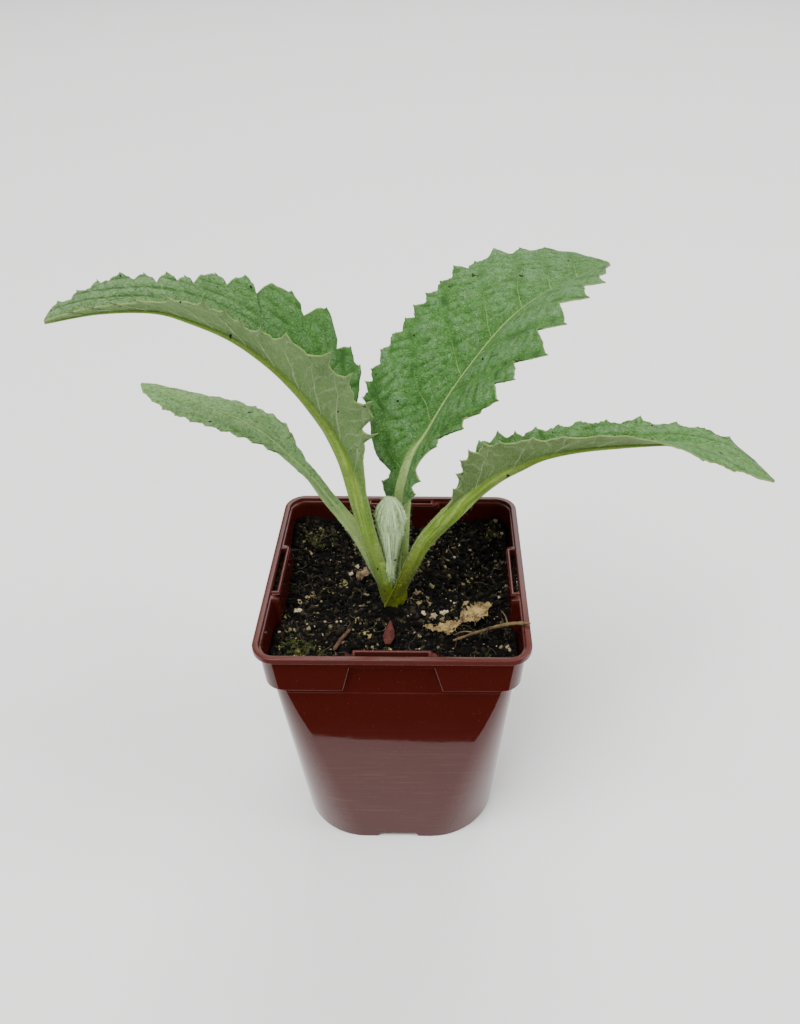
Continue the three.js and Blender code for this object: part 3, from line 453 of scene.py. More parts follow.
def new_material(name, roughness, specular=0.4, sheen=0.0):
    """A material with a Principled shader, and the helper that adds nodes to it."""
    material = bpy.data.materials.new(name)
    material.use_nodes = True
    shader = material.node_tree.nodes["Principled BSDF"]
    shader.inputs["Roughness"].default_value = roughness
    shader.inputs["Specular IOR Level"].default_value = specular
    shader.inputs["Sheen Weight"].default_value = sheen
    return material, shader, Nodes(material.node_tree)


def finish_material(nodes, shader, colour, height, distance, roughness=None):
    """Links the colour and a bump of the given height in metres to the shader."""
    nodes.tree.links.new(colour, shader.inputs["Base Color"])
    bump = nodes.add("ShaderNodeBump", {"Strength": 1.0, "Distance": distance, "Height": height})
    nodes.tree.links.new(bump.outputs[0], shader.inputs["Normal"])
    if roughness is not None:
        nodes.tree.links.new(roughness, shader.inputs["Roughness"])


# Where the pot's hazy lower half starts and is full, and how far below the top its lip's paler tone does. The
# hazy lower half is partly dried water on the plastic and partly a painted reflection of the bright floor.
HAZE_AND_REFLECTION_LEVELS, LIP_DEPTHS = (0.082, 0.055), (0.0035, 0.0015)


def plastic_material(pot):
    """Glossy plastic, hazy low down with level smears, a scuffed lip and a mould's seam. The hazy lower half
    is partly dried water on the plastic and partly a painted reflection of the bright floor.
    """
    material, shader, nodes = new_material("pot_plastic", 0.05, specular=0.25)
    place = nodes.coordinates()
    height = nodes.part(place, 2)
    cloud = nodes.noise(place, 45.0, detail=4.0)
    level = nodes.math("ADD", height, nodes.times(cloud, 0.02))
    # The lower half is painted paler: partly dried water on the plastic, partly a painted reflection of the
    # bright floor.
    film_and_painted_reflection = nodes.times(nodes.ramp(level, *HAZE_AND_REFLECTION_LEVELS), nodes.ramp(cloud, 0.25, 0.7, 0.75, 1.0))
    lip = nodes.ramp(height, *(pot.height - depth for depth in LIP_DEPTHS))
    seam = nodes.math("ABSOLUTE", nodes.math("SUBTRACT", height, pot.height - SEAM_DEPTH * MM))
    seam = nodes.times(nodes.ramp(seam, 0.0001, 0.00035, 0.45, 0.0), nodes.ramp(cloud, 0.3, 0.55, 0.3, 1.0))
    speck = nodes.ramp(nodes.noise(place, 1500.0, detail=2.0), 0.68, 0.74)
    smear = nodes.noise(nodes.coordinates((60, 60, 900)), 1.0, detail=4.0)
    smear = nodes.times(nodes.ramp(smear, 0.5, 0.8), film_and_painted_reflection)
    colour = nodes.coats(
        nodes.mix(film_and_painted_reflection, pot.colour, pot.haze_and_painted_reflection),
        (nodes.times(smear, 0.3), (0.14, 0.06, 0.05)),
        (seam, (0.14, 0.05, 0.04)),
        (nodes.times(lip, 0.3), (0.14, 0.038, 0.03)),
        (nodes.times(speck, 0.35), (0.16, 0.09, 0.06)))
    streaks = nodes.noise(nodes.coordinates((900, 900, 30)), 1.0)
    streaks = nodes.ramp(streaks, 0.4, 0.8, 0.0, 0.05)
    rough = nodes.math("ADD", nodes.ramp(film_and_painted_reflection, 0.0, 1.0, 0.03, 0.07), streaks)
    rough = nodes.math("MULTIPLY_ADD", lip, 0.2, rough)
    finish_material(nodes, shader, colour, nodes.noise(place, 70.0), 0.00005, rough)
    return material


def soil_material(soil):
    """Dark damp soil, a little browner on its grains."""
    material, shader, nodes = new_material("soil", 0.85, specular=0.12)
    place = nodes.coordinates()
    fine = nodes.noise(place, 900.0, detail=6.0, roughness=0.7)
    patch = nodes.ramp(nodes.noise(place, 180.0), 0.5, 0.7, 0.0, 0.5)
    colour = nodes.coats(
        soil.colour, (nodes.ramp(fine, 0.45, 0.75), (0.007, 0.0048, 0.003)), (patch, (0.004, 0.003, 0.002)))
    finish_material(nodes, shader, colour, fine, 0.0006)
    return material


def tinted_material(name, dark, light, scale, distance, roughness=0.8, sheen=0.0, specular=0.3,
                    patch=0.0, span=(0.2, 0.95)):
    """Colour between two tones: one draw for each scattered piece, and grain within it."""
    material, shader, nodes = new_material(name, roughness, specular, sheen)
    grain = nodes.noise(nodes.coordinates(), scale, detail=4.0, roughness=0.65)
    tone = nodes.math("MULTIPLY_ADD", nodes.attribute("tint"), 0.7, nodes.times(grain, 0.5))
    if patch:
        blot = nodes.noise(nodes.coordinates(), scale / 3, detail=5.0, roughness=0.7)
        tone = nodes.math("MULTIPLY_ADD", nodes.math("SUBTRACT", blot, 0.5), patch, tone)
    finish_material(nodes, shader, nodes.mix(nodes.ramp(tone, *span), dark, light), grain, distance)
    return material


def leaf_pattern(nodes):
    """The marks of a blade that its colours and its relief share, each a socket."""
    marks = SimpleNamespace(place=nodes.coordinates())
    marks.flat = nodes.add("ShaderNodeUVMap", uv_map="flat").outputs[0]
    marks.along = nodes.attribute("place")
    marks.out = nodes.attribute("out_share")
    marks.pillow = nodes.attribute("pillow")
    marks.felt = nodes.noise(marks.place, 90.0, detail=5.0, roughness=0.65)
    marks.grain = nodes.noise(marks.place, 1500.0, roughness=0.6)

    inputs = {"Vector": marks.flat, "Scale": 60.0, "Detail": 2.0}
    wander = nodes.add("ShaderNodeTexNoise", inputs).outputs["Color"]
    marks.net = nodes.ramp(nodes.cells(nodes.mix(0.025, marks.flat, wander), 105.0), 0.0, 0.2)
    marks.loops = nodes.ramp(nodes.cells(nodes.mix(0.06, marks.flat, wander), 27.0), 0.02, 0.11, 1.0, 0.0)

    gap = nodes.times(nodes.from_whole(nodes.attribute("vein_count")), nodes.attribute("vein_spacing"))
    width = nodes.ramp(marks.out, 0.0, 1.0, 0.16, 0.07)
    marks.side = nodes.ramp(nodes.math("DIVIDE", gap, width), 0.4, 1.4, 1.0, 0.0)
    rung = nodes.ramp(nodes.from_whole(nodes.attribute("ladder")), 0.0, 0.11, 0.42, 0.0)
    marks.rung = nodes.times(rung, nodes.ramp(marks.pillow, 0.95, 0.6))
    width = nodes.ramp(marks.along, 0.2, 0.5, 1.0, 0.24)
    midrib = nodes.ramp(nodes.math("DIVIDE", nodes.attribute("rib_gap"), width), 0.6, 1.3, 1.0, 0.0)
    marks.midrib = nodes.times(midrib, nodes.ramp(marks.along, 0.6, 0.85, 1.0, 0.15))
    return marks


def upper_colour(nodes, marks, leaves, bloom, pale, frost):
    """Green with grey felt on its swellings that is partly a painted highlight, painted shade in its hollows
    and along the grooves of its net, and thin pale veins.
    """
    height = nodes.math("MULTIPLY_ADD", marks.felt, 0.3, marks.pillow)
    crumple = nodes.noise(marks.place, 820.0, roughness=0.6)
    return nodes.coats(
        leaves.green,
        # Grey felt on the swellings, partly a painted highlight where light falls on them.
        (nodes.times(nodes.ramp(height, 0.8, 1.3), bloom), leaves.bloom),
        # Painted shade along the grooves of the fine net.
        (nodes.ramp(marks.net, 0.0, 1.0, 0.36, 0.0), (0.02, 0.08, 0.008)),
        (nodes.times(nodes.ramp(marks.grain, 0.5, 0.72), 0.4), leaves.bloom),
        (pale, (0.24, 0.4, 0.15)),
        (nodes.times(nodes.ramp(marks.along, 0.58, 0.95), frost), (0.2, 0.3, 0.14)),
        # Painted shade in the hollows between the swellings.
        (nodes.times(nodes.ramp(height, 0.88, 0.45), 0.85),
         nodes.mix(pale, (0.02, 0.085, 0.007), (0.14, 0.25, 0.07))),
        (nodes.ramp(crumple, 0.5, 0.32, 0.0, 0.45), (0.02, 0.075, 0.006)),
        # Painted shade along the grooves of the larger loops.
        (nodes.times(marks.loops, 0.3), (0.02, 0.08, 0.008)),
        (nodes.times(marks.side, nodes.ramp(marks.out, 0.05, 0.7, 0.45, 0.0)), leaves.vein),
        (marks.midrib, leaves.vein))


def lower_colour(nodes, marks, leaves, olive):
    """Grey-green felt with raised pale side veins and the rungs between them."""
    return nodes.coats(
        leaves.lower,
        (nodes.ramp(marks.felt, 0.35, 0.7, 0.0, 0.6), (0.06, 0.12, 0.025)),
        (olive, (0.085, 0.13, 0.02)),
        (nodes.times(nodes.ramp(marks.pillow, 0.7, 0.3), 0.25), (0.26, 0.35, 0.16)),
        (marks.rung, (0.28, 0.37, 0.18)),
        (nodes.ramp(marks.net, 0.0, 1.0, 0.25, 0.0), (0.19, 0.27, 0.11)),
        (nodes.times(marks.loops, 0.2), (0.24, 0.33, 0.15)),
        (nodes.times(marks.side, nodes.ramp(marks.out, 0.3, 1.0, 0.75, 0.3)), (0.33, 0.42, 0.22)))


def stalk_colour(nodes, marks, streak, tone):
    """Pale stripes along the stalk, with darker ones between them."""
    return nodes.coats(
        tone,
        (nodes.ramp(streak, 0.42, 0.64), nodes.mix(0.6, tone, (0.35, 0.46, 0.12))),
        (nodes.ramp(streak, 0.42, 0.3, 0.0, 0.5), (0.06, 0.13, 0.012)),
        (nodes.ramp(marks.felt, 0.4, 0.7, 0.0, 0.4), (0.07, 0.13, 0.01)),
        (nodes.ramp(marks.along, 0.3, 0.5, 0.0, 0.5), (0.09, 0.15, 0.015)))


def leaf_material(name, leaves, bloom=0.5, olive=0.0, pale=0.0, wool=0.0, frost=0.0, stalk=None,
                  foot=(0.103, 0.095)):
    """Leaf tissue: green above, felted below, with a striped stalk, tufts of wool and an olive foot."""
    material, shader, nodes = new_material(name, 0.6, specular=0.22, sheen=0.05)
    shader.inputs["Sheen Roughness"].default_value = 0.5
    marks = leaf_pattern(nodes)
    under = nodes.attribute("under")
    upper = upper_colour(nodes, marks, leaves, bloom, pale, frost)
    colour = nodes.mix(under, upper, lower_colour(nodes, marks, leaves, olive))

    streak = nodes.noise(nodes.stretched(marks.flat, (170, 4, 1)), 1.0)
    shown = nodes.math("MAXIMUM", under, nodes.ramp(marks.along, 0.37, 0.26))
    is_rib = nodes.times(nodes.attribute("rib"), shown)
    colour = nodes.mix(is_rib, colour, stalk_colour(nodes, marks, streak, stalk or leaves.petiole))

    hand = nodes.math("SIGN", nodes.part(marks.flat, 0))
    fan = {0: nodes.times(nodes.times(hand, marks.out), 21.0), 1: nodes.times(marks.along, 3.0)}
    fan = nodes.add("ShaderNodeCombineXYZ", fan).outputs[0]
    fan = nodes.noise(fan, 1.0, detail=4.0, roughness=0.6)
    foot = nodes.ramp(nodes.part(marks.place, 2), *foot, 0.0, 0.92)
    rim = nodes.ramp(nodes.attribute("rim_gap"), 0.05, 0.32, 0.6, 0.0)
    speck = nodes.ramp(nodes.noise(marks.place, 410.0, detail=1.0), 0.754, 0.768)
    colour = nodes.coats(
        colour,
        (nodes.times(nodes.ramp(fan, 0.38, 0.62, 0.14, 1.0), wool), (0.78, 0.98, 0.58)),
        (foot, FOOT_OLIVE),
        (nodes.times(rim, nodes.ramp(foot, 0.0, 0.6, 1.0, 0.0)), (0.27, 0.36, 0.11)),
        (speck, (0.006, 0.005, 0.003)))

    relief = nodes.math("MULTIPLY_ADD", marks.net, 0.6, nodes.times(marks.grain, 0.5))
    relief = nodes.math("MULTIPLY_ADD", marks.loops, -0.7, relief)
    relief = nodes.math("MULTIPLY_ADD", streak, nodes.times(is_rib, 0.5), relief)
    finish_material(nodes, shader, colour, relief, 0.00018)
    return material


def crown_material(leaves):
    """Stem tissue: the stalks' green above, turning olive where it enters the soil."""
    material, shader, nodes = new_material("crown", 0.5, specular=0.3)
    height = nodes.part(nodes.coordinates(), 2)
    streak = nodes.noise(nodes.coordinates((900, 900, 90)), 1.0)
    colour = nodes.coats(
        leaves.petiole,
        (nodes.ramp(height, 0.101, 0.096), FOOT_OLIVE),
        (nodes.ramp(streak, 0.35, 0.65, 0.0, 0.3), (0.07, 0.09, 0.005)))
    finish_material(nodes, shader, colour, streak, 0.0003)
    return material


def flag_material():
    """Black, so that the pot's front reflects a dark strip beyond the floor before it."""
    material, shader, _ = new_material("flag", 1.0, specular=0.0)
    shader.inputs["Base Color"].default_value = (0, 0, 0, 1)
    return material


def floor_material(stage):
    """Pale and matt, with a faint unevenness."""
    material, shader, nodes = new_material("floor", 0.6, specular=0.2)
    grain = nodes.noise(nodes.coordinates(), 90.0)
    colour = nodes.mix(nodes.ramp(grain, 0.3, 0.7, 0.0, 0.04), stage.floor, (0.8, 0.8, 0.8))
    finish_material(nodes, shader, colour, grain, 0.00005)
    return material


def mesh_object(name, points, faces, material=None, smooth=True):
    """An object at the origin from points in millimetres."""
    mesh = bpy.data.meshes.new(name)
    mesh.from_pydata((np.asarray(points, float).reshape(-1, 3) * MM).tolist(), [], faces)
    mesh.update()
    if smooth:
        mesh.shade_smooth()
    if material is not None:
        mesh.materials.append(material)
    made = bpy.data.objects.new(name, mesh)
    bpy.context.scene.collection.objects.link(made)
    return made


def add_values(mesh, name, values):
    """Stores one number for each point, or the same one for all."""
    layer = mesh.attributes.new(name, "FLOAT", "POINT")
    values = np.broadcast_to(np.asarray(values, np.float32).ravel(), len(mesh.vertices))
    layer.data.foreach_set("value", np.ascontiguousarray(values))


def apply_modifiers(made):
    """Turns what the modifiers make into the object's own plain mesh."""
    graph = bpy.context.evaluated_depsgraph_get()
    mesh = bpy.data.meshes.new_from_object(
        made.evaluated_get(graph), preserve_all_data_layers=True, depsgraph=graph)
    made.modifiers.clear()
    made.data = mesh
    return made


def finish_piece(made, slot, *nodes):
    """Attaches a finished piece to the body it rides on and hides the solids it stands for. The slot is not
    used.
    """
    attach(made, "root")
    if nodes:
        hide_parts(*nodes)


def smoothstep(value, low, high):
    """A smooth rise from 0 at `low` to 1 at `high`."""
    share = np.clip((value - low) / (high - low), 0, 1)
    return share * share * (3 - 2 * share)


def bell(value, width):
    """One at zero, falling off smoothly on both sides."""
    return np.exp(-((value / width) ** 2))


def unit(vectors):
    """Vectors of the same directions, each one long."""
    return vectors / np.maximum(np.linalg.norm(vectors, axis=-1, keepdims=True), 1e-9)


def ripple(place, roughness=0.7, step=2.2):
    """Rough noise at a point: four layers, each finer than the last by `step`."""
    return noise.fractal(Vector(place), roughness, step, 4)


def smooth_curve(points, count):
    """Evenly spaced points along a Catmull-Rom curve, and its length."""
    points = np.asarray(points, float)
    padded = np.vstack([2 * points[0] - points[1], points, 2 * points[-1] - points[-2]])
    place = np.linspace(0, len(points) - 1, SPINE_STEPS)
    index = np.minimum(place.astype(int), len(points) - 2)
    t = (place - index)[:, None]
    p0, p1, p2, p3 = (padded[index + step] for step in range(4))
    tangent1, tangent2 = (p2 - p0) / 2, (p3 - p1) / 2
    curve = ((2 * t**3 - 3 * t**2 + 1) * p1 + (t**3 - 2 * t**2 + t) * tangent1
             + (-2 * t**3 + 3 * t**2) * p2 + (t**3 - t**2) * tangent2)
    steps = np.linalg.norm(np.diff(curve, axis=0), axis=1)
    lengths = np.concatenate([[0], np.cumsum(steps)])
    wanted = np.linspace(0, lengths[-1], count)
    even = np.stack([np.interp(wanted, lengths, curve[:, axis]) for axis in range(3)], axis=1)
    return even, lengths[-1]


def grid_faces(rows, columns, closed=False):
    """Quads over a grid of points, row by row. A closed grid's last column meets its first."""
    faces = []
    for row in range(rows - 1):
        for column in range(columns if closed else columns - 1):
            after = (column + 1) % columns
            a, b = row * columns + column, row * columns + after
            faces.append((a, b, b + columns, a + columns))
    return faces


def grid_border(rows, columns):
    """The points round a grid: up its first column, then its first row, last column and last row."""
    last = (rows - 1) * columns
    border = [row * columns for row in reversed(range(rows))] + list(range(1, columns))
    border += [row * columns + columns - 1 for row in range(1, rows)]
    return border + [last + column for column in range(columns - 2, 0, -1)]


def grid_normals(points, facing):
    """Smoothed normals of a grid of points, turned to the side that `facing` gives."""
    lengthwise = np.gradient(points, axis=0)
    across = np.gradient(points, axis=1)
    normals = unit(np.cross(lengthwise, across))
    turned = np.sum(normals * facing, axis=-1, keepdims=True) < 0
    normals = np.where(turned, -normals, normals)
    rows, columns = normals.shape[:2]
    for _ in range(2):
        padded = np.pad(normals, ((1, 1), (1, 1), (0, 0)), "edge")
        normals = sum(padded[row:row + rows, column:column + columns]
                      for row in range(3) for column in range(3))
    return unit(normals)


def sheet_points(upper, normals, depths):
    """Upper and lower points of a sheet, as one list."""
    lower = upper - normals * depths[..., None]
    return np.concatenate([upper.reshape(-1, 3), lower.reshape(-1, 3)])


def sheet_faces(rows, columns):
    """Faces of a closed sheet: its upper side, its lower side and the edge between them."""
    upper = grid_faces(rows, columns)
    low = rows * columns
    faces = upper + [tuple(index + low for index in reversed(face)) for face in upper]
    border = grid_border(rows, columns)
    for here, after in zip(border, border[1:] + border[:1]):
        faces.append((here, here + low, after + low, after))
    return faces


def row_starts(leaf):
    """Where each row leaves the midrib: behind its teeth by the slant of the side veins."""
    left, right = np.array(leaf["left"], float), np.array(leaf["right"], float)
    starts = (left[:, 0] + right[:, 0] - VEIN_SLANT * (left[:, 1] + right[:, 1])) / 2
    for _ in range(3):
        padded = np.concatenate([starts[:1], starts, starts[-1:]])
        starts = (padded[:-2] + padded[1:-1] + padded[2:]) / 3
    for row in range(1, len(starts)):
        starts[row] = max(starts[row], starts[row - 1] + LEAST_STEP)
    return starts


def tooth_shares(margin):
    """How far each margin point stands out past its neighbours, from -1 to 1."""
    outs = np.array(margin, float)[:, 1]
    before = np.concatenate([outs[:1], outs[:-1]])
    after = np.concatenate([outs[1:], outs[-1:]])
    return np.clip((outs - (before + after) / 2) / TOOTH_DEPTH, -1, 1)


def coarse_rows(leaf, length):
    """The rows through the margin points, with the petiole before them and the tip after."""
    starts = row_starts(leaf)
    share = np.arange(PETIOLE_ROWS) / PETIOLE_ROWS
    sink, half = -leaf["sink"], leaf["petiole"][0] + PETIOLE_WING
    start = np.concatenate([sink + (starts[0] - sink) * share, starts, [length]])
    margins = []
    for side, ruffle in zip(("left", "right"), leaf["ruffle"]):
        points = np.array(leaf[side], float)
        along = sink + (points[0, 0] - sink) * share
        out = (half + (points[0, 1] - half) * share) * (1 + root_flare(leaf, along))
        petiole = np.stack([along, out], 1)
        margin = np.vstack([petiole, points, [[length, TIP_HALF_WIDTH]]])
        lift = np.concatenate([np.zeros(PETIOLE_ROWS), -ruffle * tooth_shares(leaf[side]), [0]])
        margins.append((margin, lift))
    return start, margins


def fine_margin(margin, lift, bow, spine):
    """Cuts each step of a margin finer, with teeth that are slender points or round lobes."""
    fine, teeth = [], []
    for row in range(len(margin) - 1):
        (along0, out0), (along1, out1) = margin[row], margin[row + 1]
        high = row + 1 if out1 > out0 else row
        neighbours = margin[max(0, high - 1):high + 2, 1]
        is_tooth = row >= PETIOLE_ROWS + 1 and margin[high, 1] >= neighbours.max() - 1e-6
        if is_tooth:
            teeth.append(high)
        low, top = min(out0, out1), max(out0, out1)
        for step in range(SUB_ROWS):
            share = step / SUB_ROWS
            rise = share if out1 > out0 else 1 - share
            if bow < 1:
                rise = math.sin(rise * math.pi / 2)
            rise = rise ** (bow if is_tooth else 1)
            tip = spine if step == 0 and row in teeth else 0
            along = along0 + (along1 - along0) * share + tip * 0.6
            nick = noise.noise(Vector((along * 1.15, bow * 9.7, margin[3, 1])))
            nick = NICK * nick * min(1, top / SOFT_EDGE)
            out = low + (top - low) * rise + tip + nick
            fine.append((along, out, lift[row] + (lift[row + 1] - lift[row]) * share))
    fine.append((*margin[-1], lift[-1]))
    return np.array(fine).T


def root_flare(leaf, along):
    """How much wider the petiole is where it clasps the crown."""
    return leaf["flare"] * (1 - smoothstep(along, 0, FLARE_LENGTH))


def rib_size(leaf, along, length):
    """Half width and depth of the petiole, which thins to its root and runs out as a rib."""
    place = along / length
    taper = np.clip(1.06 - place, 0.1, 1) ** 0.9
    slim = 1 + (leaf["rib"] - 1) * smoothstep(place, 0.2, 0.6)
    flare = root_flare(leaf, along)
    root = 0.45 + 0.55 * np.maximum(smoothstep(along, -leaf["sink"], ROOT_LENGTH), 2 * flare)
    half, depth = leaf["petiole"]
    return half * taper * slim * (1 + flare), depth * taper * slim * root


def wander(outs, alongs, size, seed):
    """Smooth noise over a blade, from about -1 to 1, in patches of the given size."""
    values = [noise.noise(Vector((o / size, a / size, seed))) for o, a in zip(outs.flat, alongs.flat)]
    return np.array(values).reshape(outs.shape)


def vein_layout(leaf, outs, alongs, first, length, hand):
    """Where a point lies among the side veins, which leave the midrib at an acute angle. Gives a
    count that is whole on a vein, the distance between veins, and the place along the vein."""
    slant, power = leaf["veins"]
    reach = slant * SLANT_REACH * (outs / SLANT_REACH) ** power
    steepness = slant * power * (np.maximum(outs, 1) / SLANT_REACH) ** (power - 1)
    drift = wander(outs, alongs, 11.0, hand * 4.4) * 2.2 + wander(outs, alongs, 4.0, hand * 7.1) * 0.5
    origin = alongs - reach + drift * smoothstep(outs, 1, 6)
    place = (origin - first) / (length - first)
    count = leaf["vein_count"] * (place * 0.75 + 0.25 * np.maximum(place, 0) ** 2)
    count = count + (0.3 if hand > 0 else 0.75)
    pitch = (length - first) / (leaf["vein_count"] * (0.75 + 0.5 * np.clip(place, 0, 1)))
    turn = 1 / np.sqrt(1 + steepness**2)
    return count, pitch * turn, outs * turn + alongs * steepness * turn


def blade_relief(leaf, outs, alongs, station, layout):
    """How the blade swells between its side veins, the rungs that join them and the furrows by its
    tip. Gives the height of the swellings, the ladder that is whole on a rung, and the vein gap."""
    count, spacing, along_vein = layout
    gap = np.abs((count + 0.5) % 1 - 0.5) * spacing
    shifts = 1.8 * wander(outs, alongs, 9.0, 2.2) + 0.9 * wander(outs, alongs, 3.5, 6.2)
    ladder = (along_vein + shifts) / LADDER_PITCH + 0.37 * np.floor(count)
    broken = smoothstep(wander(outs, alongs, 6.0, 3.9), -0.4, 0.1)
    rung = bell(np.sin(np.pi * ladder), 0.42) * broken
    beside_vein = bell(gap, 0.15 * spacing)
    lengthwise = np.sin(np.pi * (outs / 3.2 + 0.5 * wander(outs, alongs / 4, 4.0, 1.3)))
    furrowed = leaf["furrows"] * smoothstep(station, 0.48, 0.72)
    pillow = 1 - (0.6 * rung * (1 - beside_vein) + 0.45 * beside_vein) * (1 - 0.75 * furrowed)
    pillow = pillow - 0.6 * furrowed * bell(lengthwise, 0.45)
    fine = 0.35 * wander(outs, alongs, 1.7, 5.5) + 0.25 * wander(outs, alongs, 3.2, 8.8)
    return pillow + fine * (1 - 0.5 * furrowed), ladder, gap


def leaf_half(leaf, side, start, margin, spine, length, thickness):
    """Points, facings, depths and pattern values of one half, from the midrib to the margin."""
    hand = 1 if side == "left" else -1
    along, out, lift = fine_margin(*margin, *leaf[side + "_teeth"])
    rib_half, rib_depth = rib_size(leaf, start, length)
    rib_half = np.minimum(rib_half, out * 0.8)
    stalk_share = 1 - smoothstep(start / length, *leaf["stalk"])
    rib_half = (rib_half + (out * 0.94 - rib_half) * stalk_share)[:, None]
    rib_shares = np.sin(np.linspace(0, np.pi / 2, RIB_COLUMNS))
    blade_shares = np.linspace(0, 1, BLADE_COLUMNS + 1)[1:]
    blade = rib_half + blade_shares * (out[:, None] - rib_half)
    outs = np.concatenate([rib_shares * rib_half, blade], axis=1)
    share = outs / out[:, None]
    alongs = start[:, None] + (along - start)[:, None] * share
    station = np.clip(alongs / length, 0, 1)

    azimuth = math.radians(leaf["azimuth"])
    marks = np.linspace(0, 1, len(spine))
    tangents = unit(np.gradient(spine, axis=0))
    origin, tangent = (np.stack([np.interp(station, marks, column) for column in table.T], axis=-1)
                       for table in (spine, tangents))
    tangent = unit(tangent)
    sideways = np.array([-math.sin(azimuth), math.cos(azimuth), 0.0])
    facing = np.cross(tangent, sideways)
    fold = np.radians(np.interp(station, *zip(*leaf[side + "_fold"])))
    cup = math.radians(leaf["cup"])
    root = fold - cup / 2
    across = out[:, None] * (np.sin(root + cup * share) - np.sin(root)) / cup
    up = out[:, None] * (np.cos(root) - np.cos(root + cup * share)) / cup

    at_stalk, at_blade = leaf["raise"]
    raised = at_stalk + (at_blade - at_stalk) * smoothstep(start / length, 0.2, 0.45)
    raised = (raised * (0.65 + rib_depth))[:, None] / (1 + (outs / RAISE_REACH) ** 2)
    layout = vein_layout(leaf, outs, alongs, start[PETIOLE_ROWS * SUB_ROWS], length, hand)
    pillow, ladder, gap = blade_relief(leaf, outs, alongs, station, layout)
    clear_of_rib = smoothstep(outs - rib_half, 0, 2.5)
    clear_of_rim = 1 - 0.5 * smoothstep(share, 0.8, 1)
    relief = leaf["pucker"] * (pillow - FLAT_PILLOW) * clear_of_rib * clear_of_rim
    relief = relief * np.minimum(1, out / SOFT_EDGE)[:, None] * (1 - 0.45 * smoothstep(station, 0.5, 0.85))

    point = origin + tangent * (alongs - station * length)[..., None]
    point = point + sideways * (hand * across)[..., None]
    point = point + facing * (up + lift[:, None] * share**2 + raised + relief)[..., None]
    bulge = np.sqrt(np.maximum(0, 1 - (outs / rib_half) ** 2))
    vein_ridge = bell(gap, 0.5) * (1 - 0.6 * share) * leaf["ridge"]
    depths = thickness[0] + (thickness[1] - thickness[0]) * share
    depths = depths + rib_depth[:, None] * bulge + vein_ridge * clear_of_rib
    hairy = smoothstep(start, 3, 16) * (1 - smoothstep(start / length, 0.15, 0.4))
    return {
        "point": point,
        "facing": facing,
        "depth": depths,
        "flat": np.stack([hand * outs, alongs], axis=-1),
        "values": {
            "vein_count": layout[0],
            "vein_spacing": layout[1],
            "pillow": pillow * clear_of_rib + FLAT_PILLOW * (1 - clear_of_rib),
            "ladder": ladder,
            "rib_gap": outs,
            "rib": np.maximum(1 - smoothstep(outs / rib_half, 0.85, 1.1), stalk_share[:, None]),
            "rim_gap": out[:, None] - outs,
            "out_share": share,
            "place": station,
            "hairy": np.broadcast_to(hairy[:, None], outs.shape),
            "wool": np.ones(outs.shape),
        },
    }


def join_halves(left, right):
    """One grid across the leaf, from the left margin over the midrib to the right margin."""
    return np.concatenate([left[:, ::-1], right[:, 1:]], axis=1)


def leaf_object(name, leaf, leaves, material):
    """A leaf as one closed sheet, with the values that its material and its hairs read."""
    azimuth = math.radians(leaf["azimuth"])
    points = [(CROWN_X + reach * math.cos(azimuth), CROWN_Y + reach * math.sin(azimuth), z)
              for reach, z in leaf["midrib"]]
    spine, length = smooth_curve(points, SPINE_STEPS)
    start, margins = coarse_rows(leaf, length)
    last = len(start) - 1
    start = np.interp(np.linspace(0, last, last * SUB_ROWS + 1), np.arange(last + 1), start)
    thickness = (leaves.thickness / MM, leaves.margin / MM)
    left, right = (leaf_half(leaf, side, start, margin, spine, length, thickness)
                   for side, margin in zip(("left", "right"), margins))
    upper, facing, depths, flat = (join_halves(left[key], right[key])
                                   for key in ("point", "facing", "depth", "flat"))
    points = sheet_points(upper, grid_normals(upper, facing), depths)
    made = mesh_object(name, points, sheet_faces(*depths.shape), material)
    mesh = made.data
    for key, values in left["values"].items():
        both = join_halves(values, right["values"][key]).ravel()
        add_values(mesh, key, np.concatenate([both, both]))
    add_values(mesh, "under", np.repeat([0.0, 1.0], depths.size))
    flat = flat.reshape(-1, 2) * FLAT_SCALE
    corners = np.zeros(len(mesh.loops), np.int32)
    mesh.loops.foreach_get("vertex_index", corners)
    layer = mesh.uv_layers.new(name="flat")
    layer.data.foreach_set("uv", np.concatenate([flat, flat])[corners].astype(np.float32).ravel())
    return made


def tube_points(centres, radii, sides):
    """Rings of points round a path, and the faces of the closed tube."""
    centres = np.asarray(centres, float)
    tangents = unit(np.gradient(centres, axis=0))
    level = np.cross(tangents, [0.0, 0.0, 1.0])
    is_upright = np.linalg.norm(level, axis=1, keepdims=True) < 1e-6
    level = unit(np.where(is_upright, [1.0, 0.0, 0.0], level))
    upright = np.cross(level, tangents)
    angles = np.linspace(0, 2 * math.pi, sides, endpoint=False)
    radii = np.broadcast_to(np.asarray(radii, float).reshape(len(centres), -1), (len(centres), sides))
    arms = level[:, None] * np.cos(angles)[:, None] + upright[:, None] * np.sin(angles)[:, None]
    points = (centres[:, None] + arms * radii[..., None]).reshape(-1, 3)
    last = (len(centres) - 1) * sides
    faces = [tuple(reversed(face)) for face in grid_faces(len(centres), sides, closed=True)]
    faces += [tuple(range(sides)), tuple(last + side for side in reversed(range(sides)))]
    return points, faces


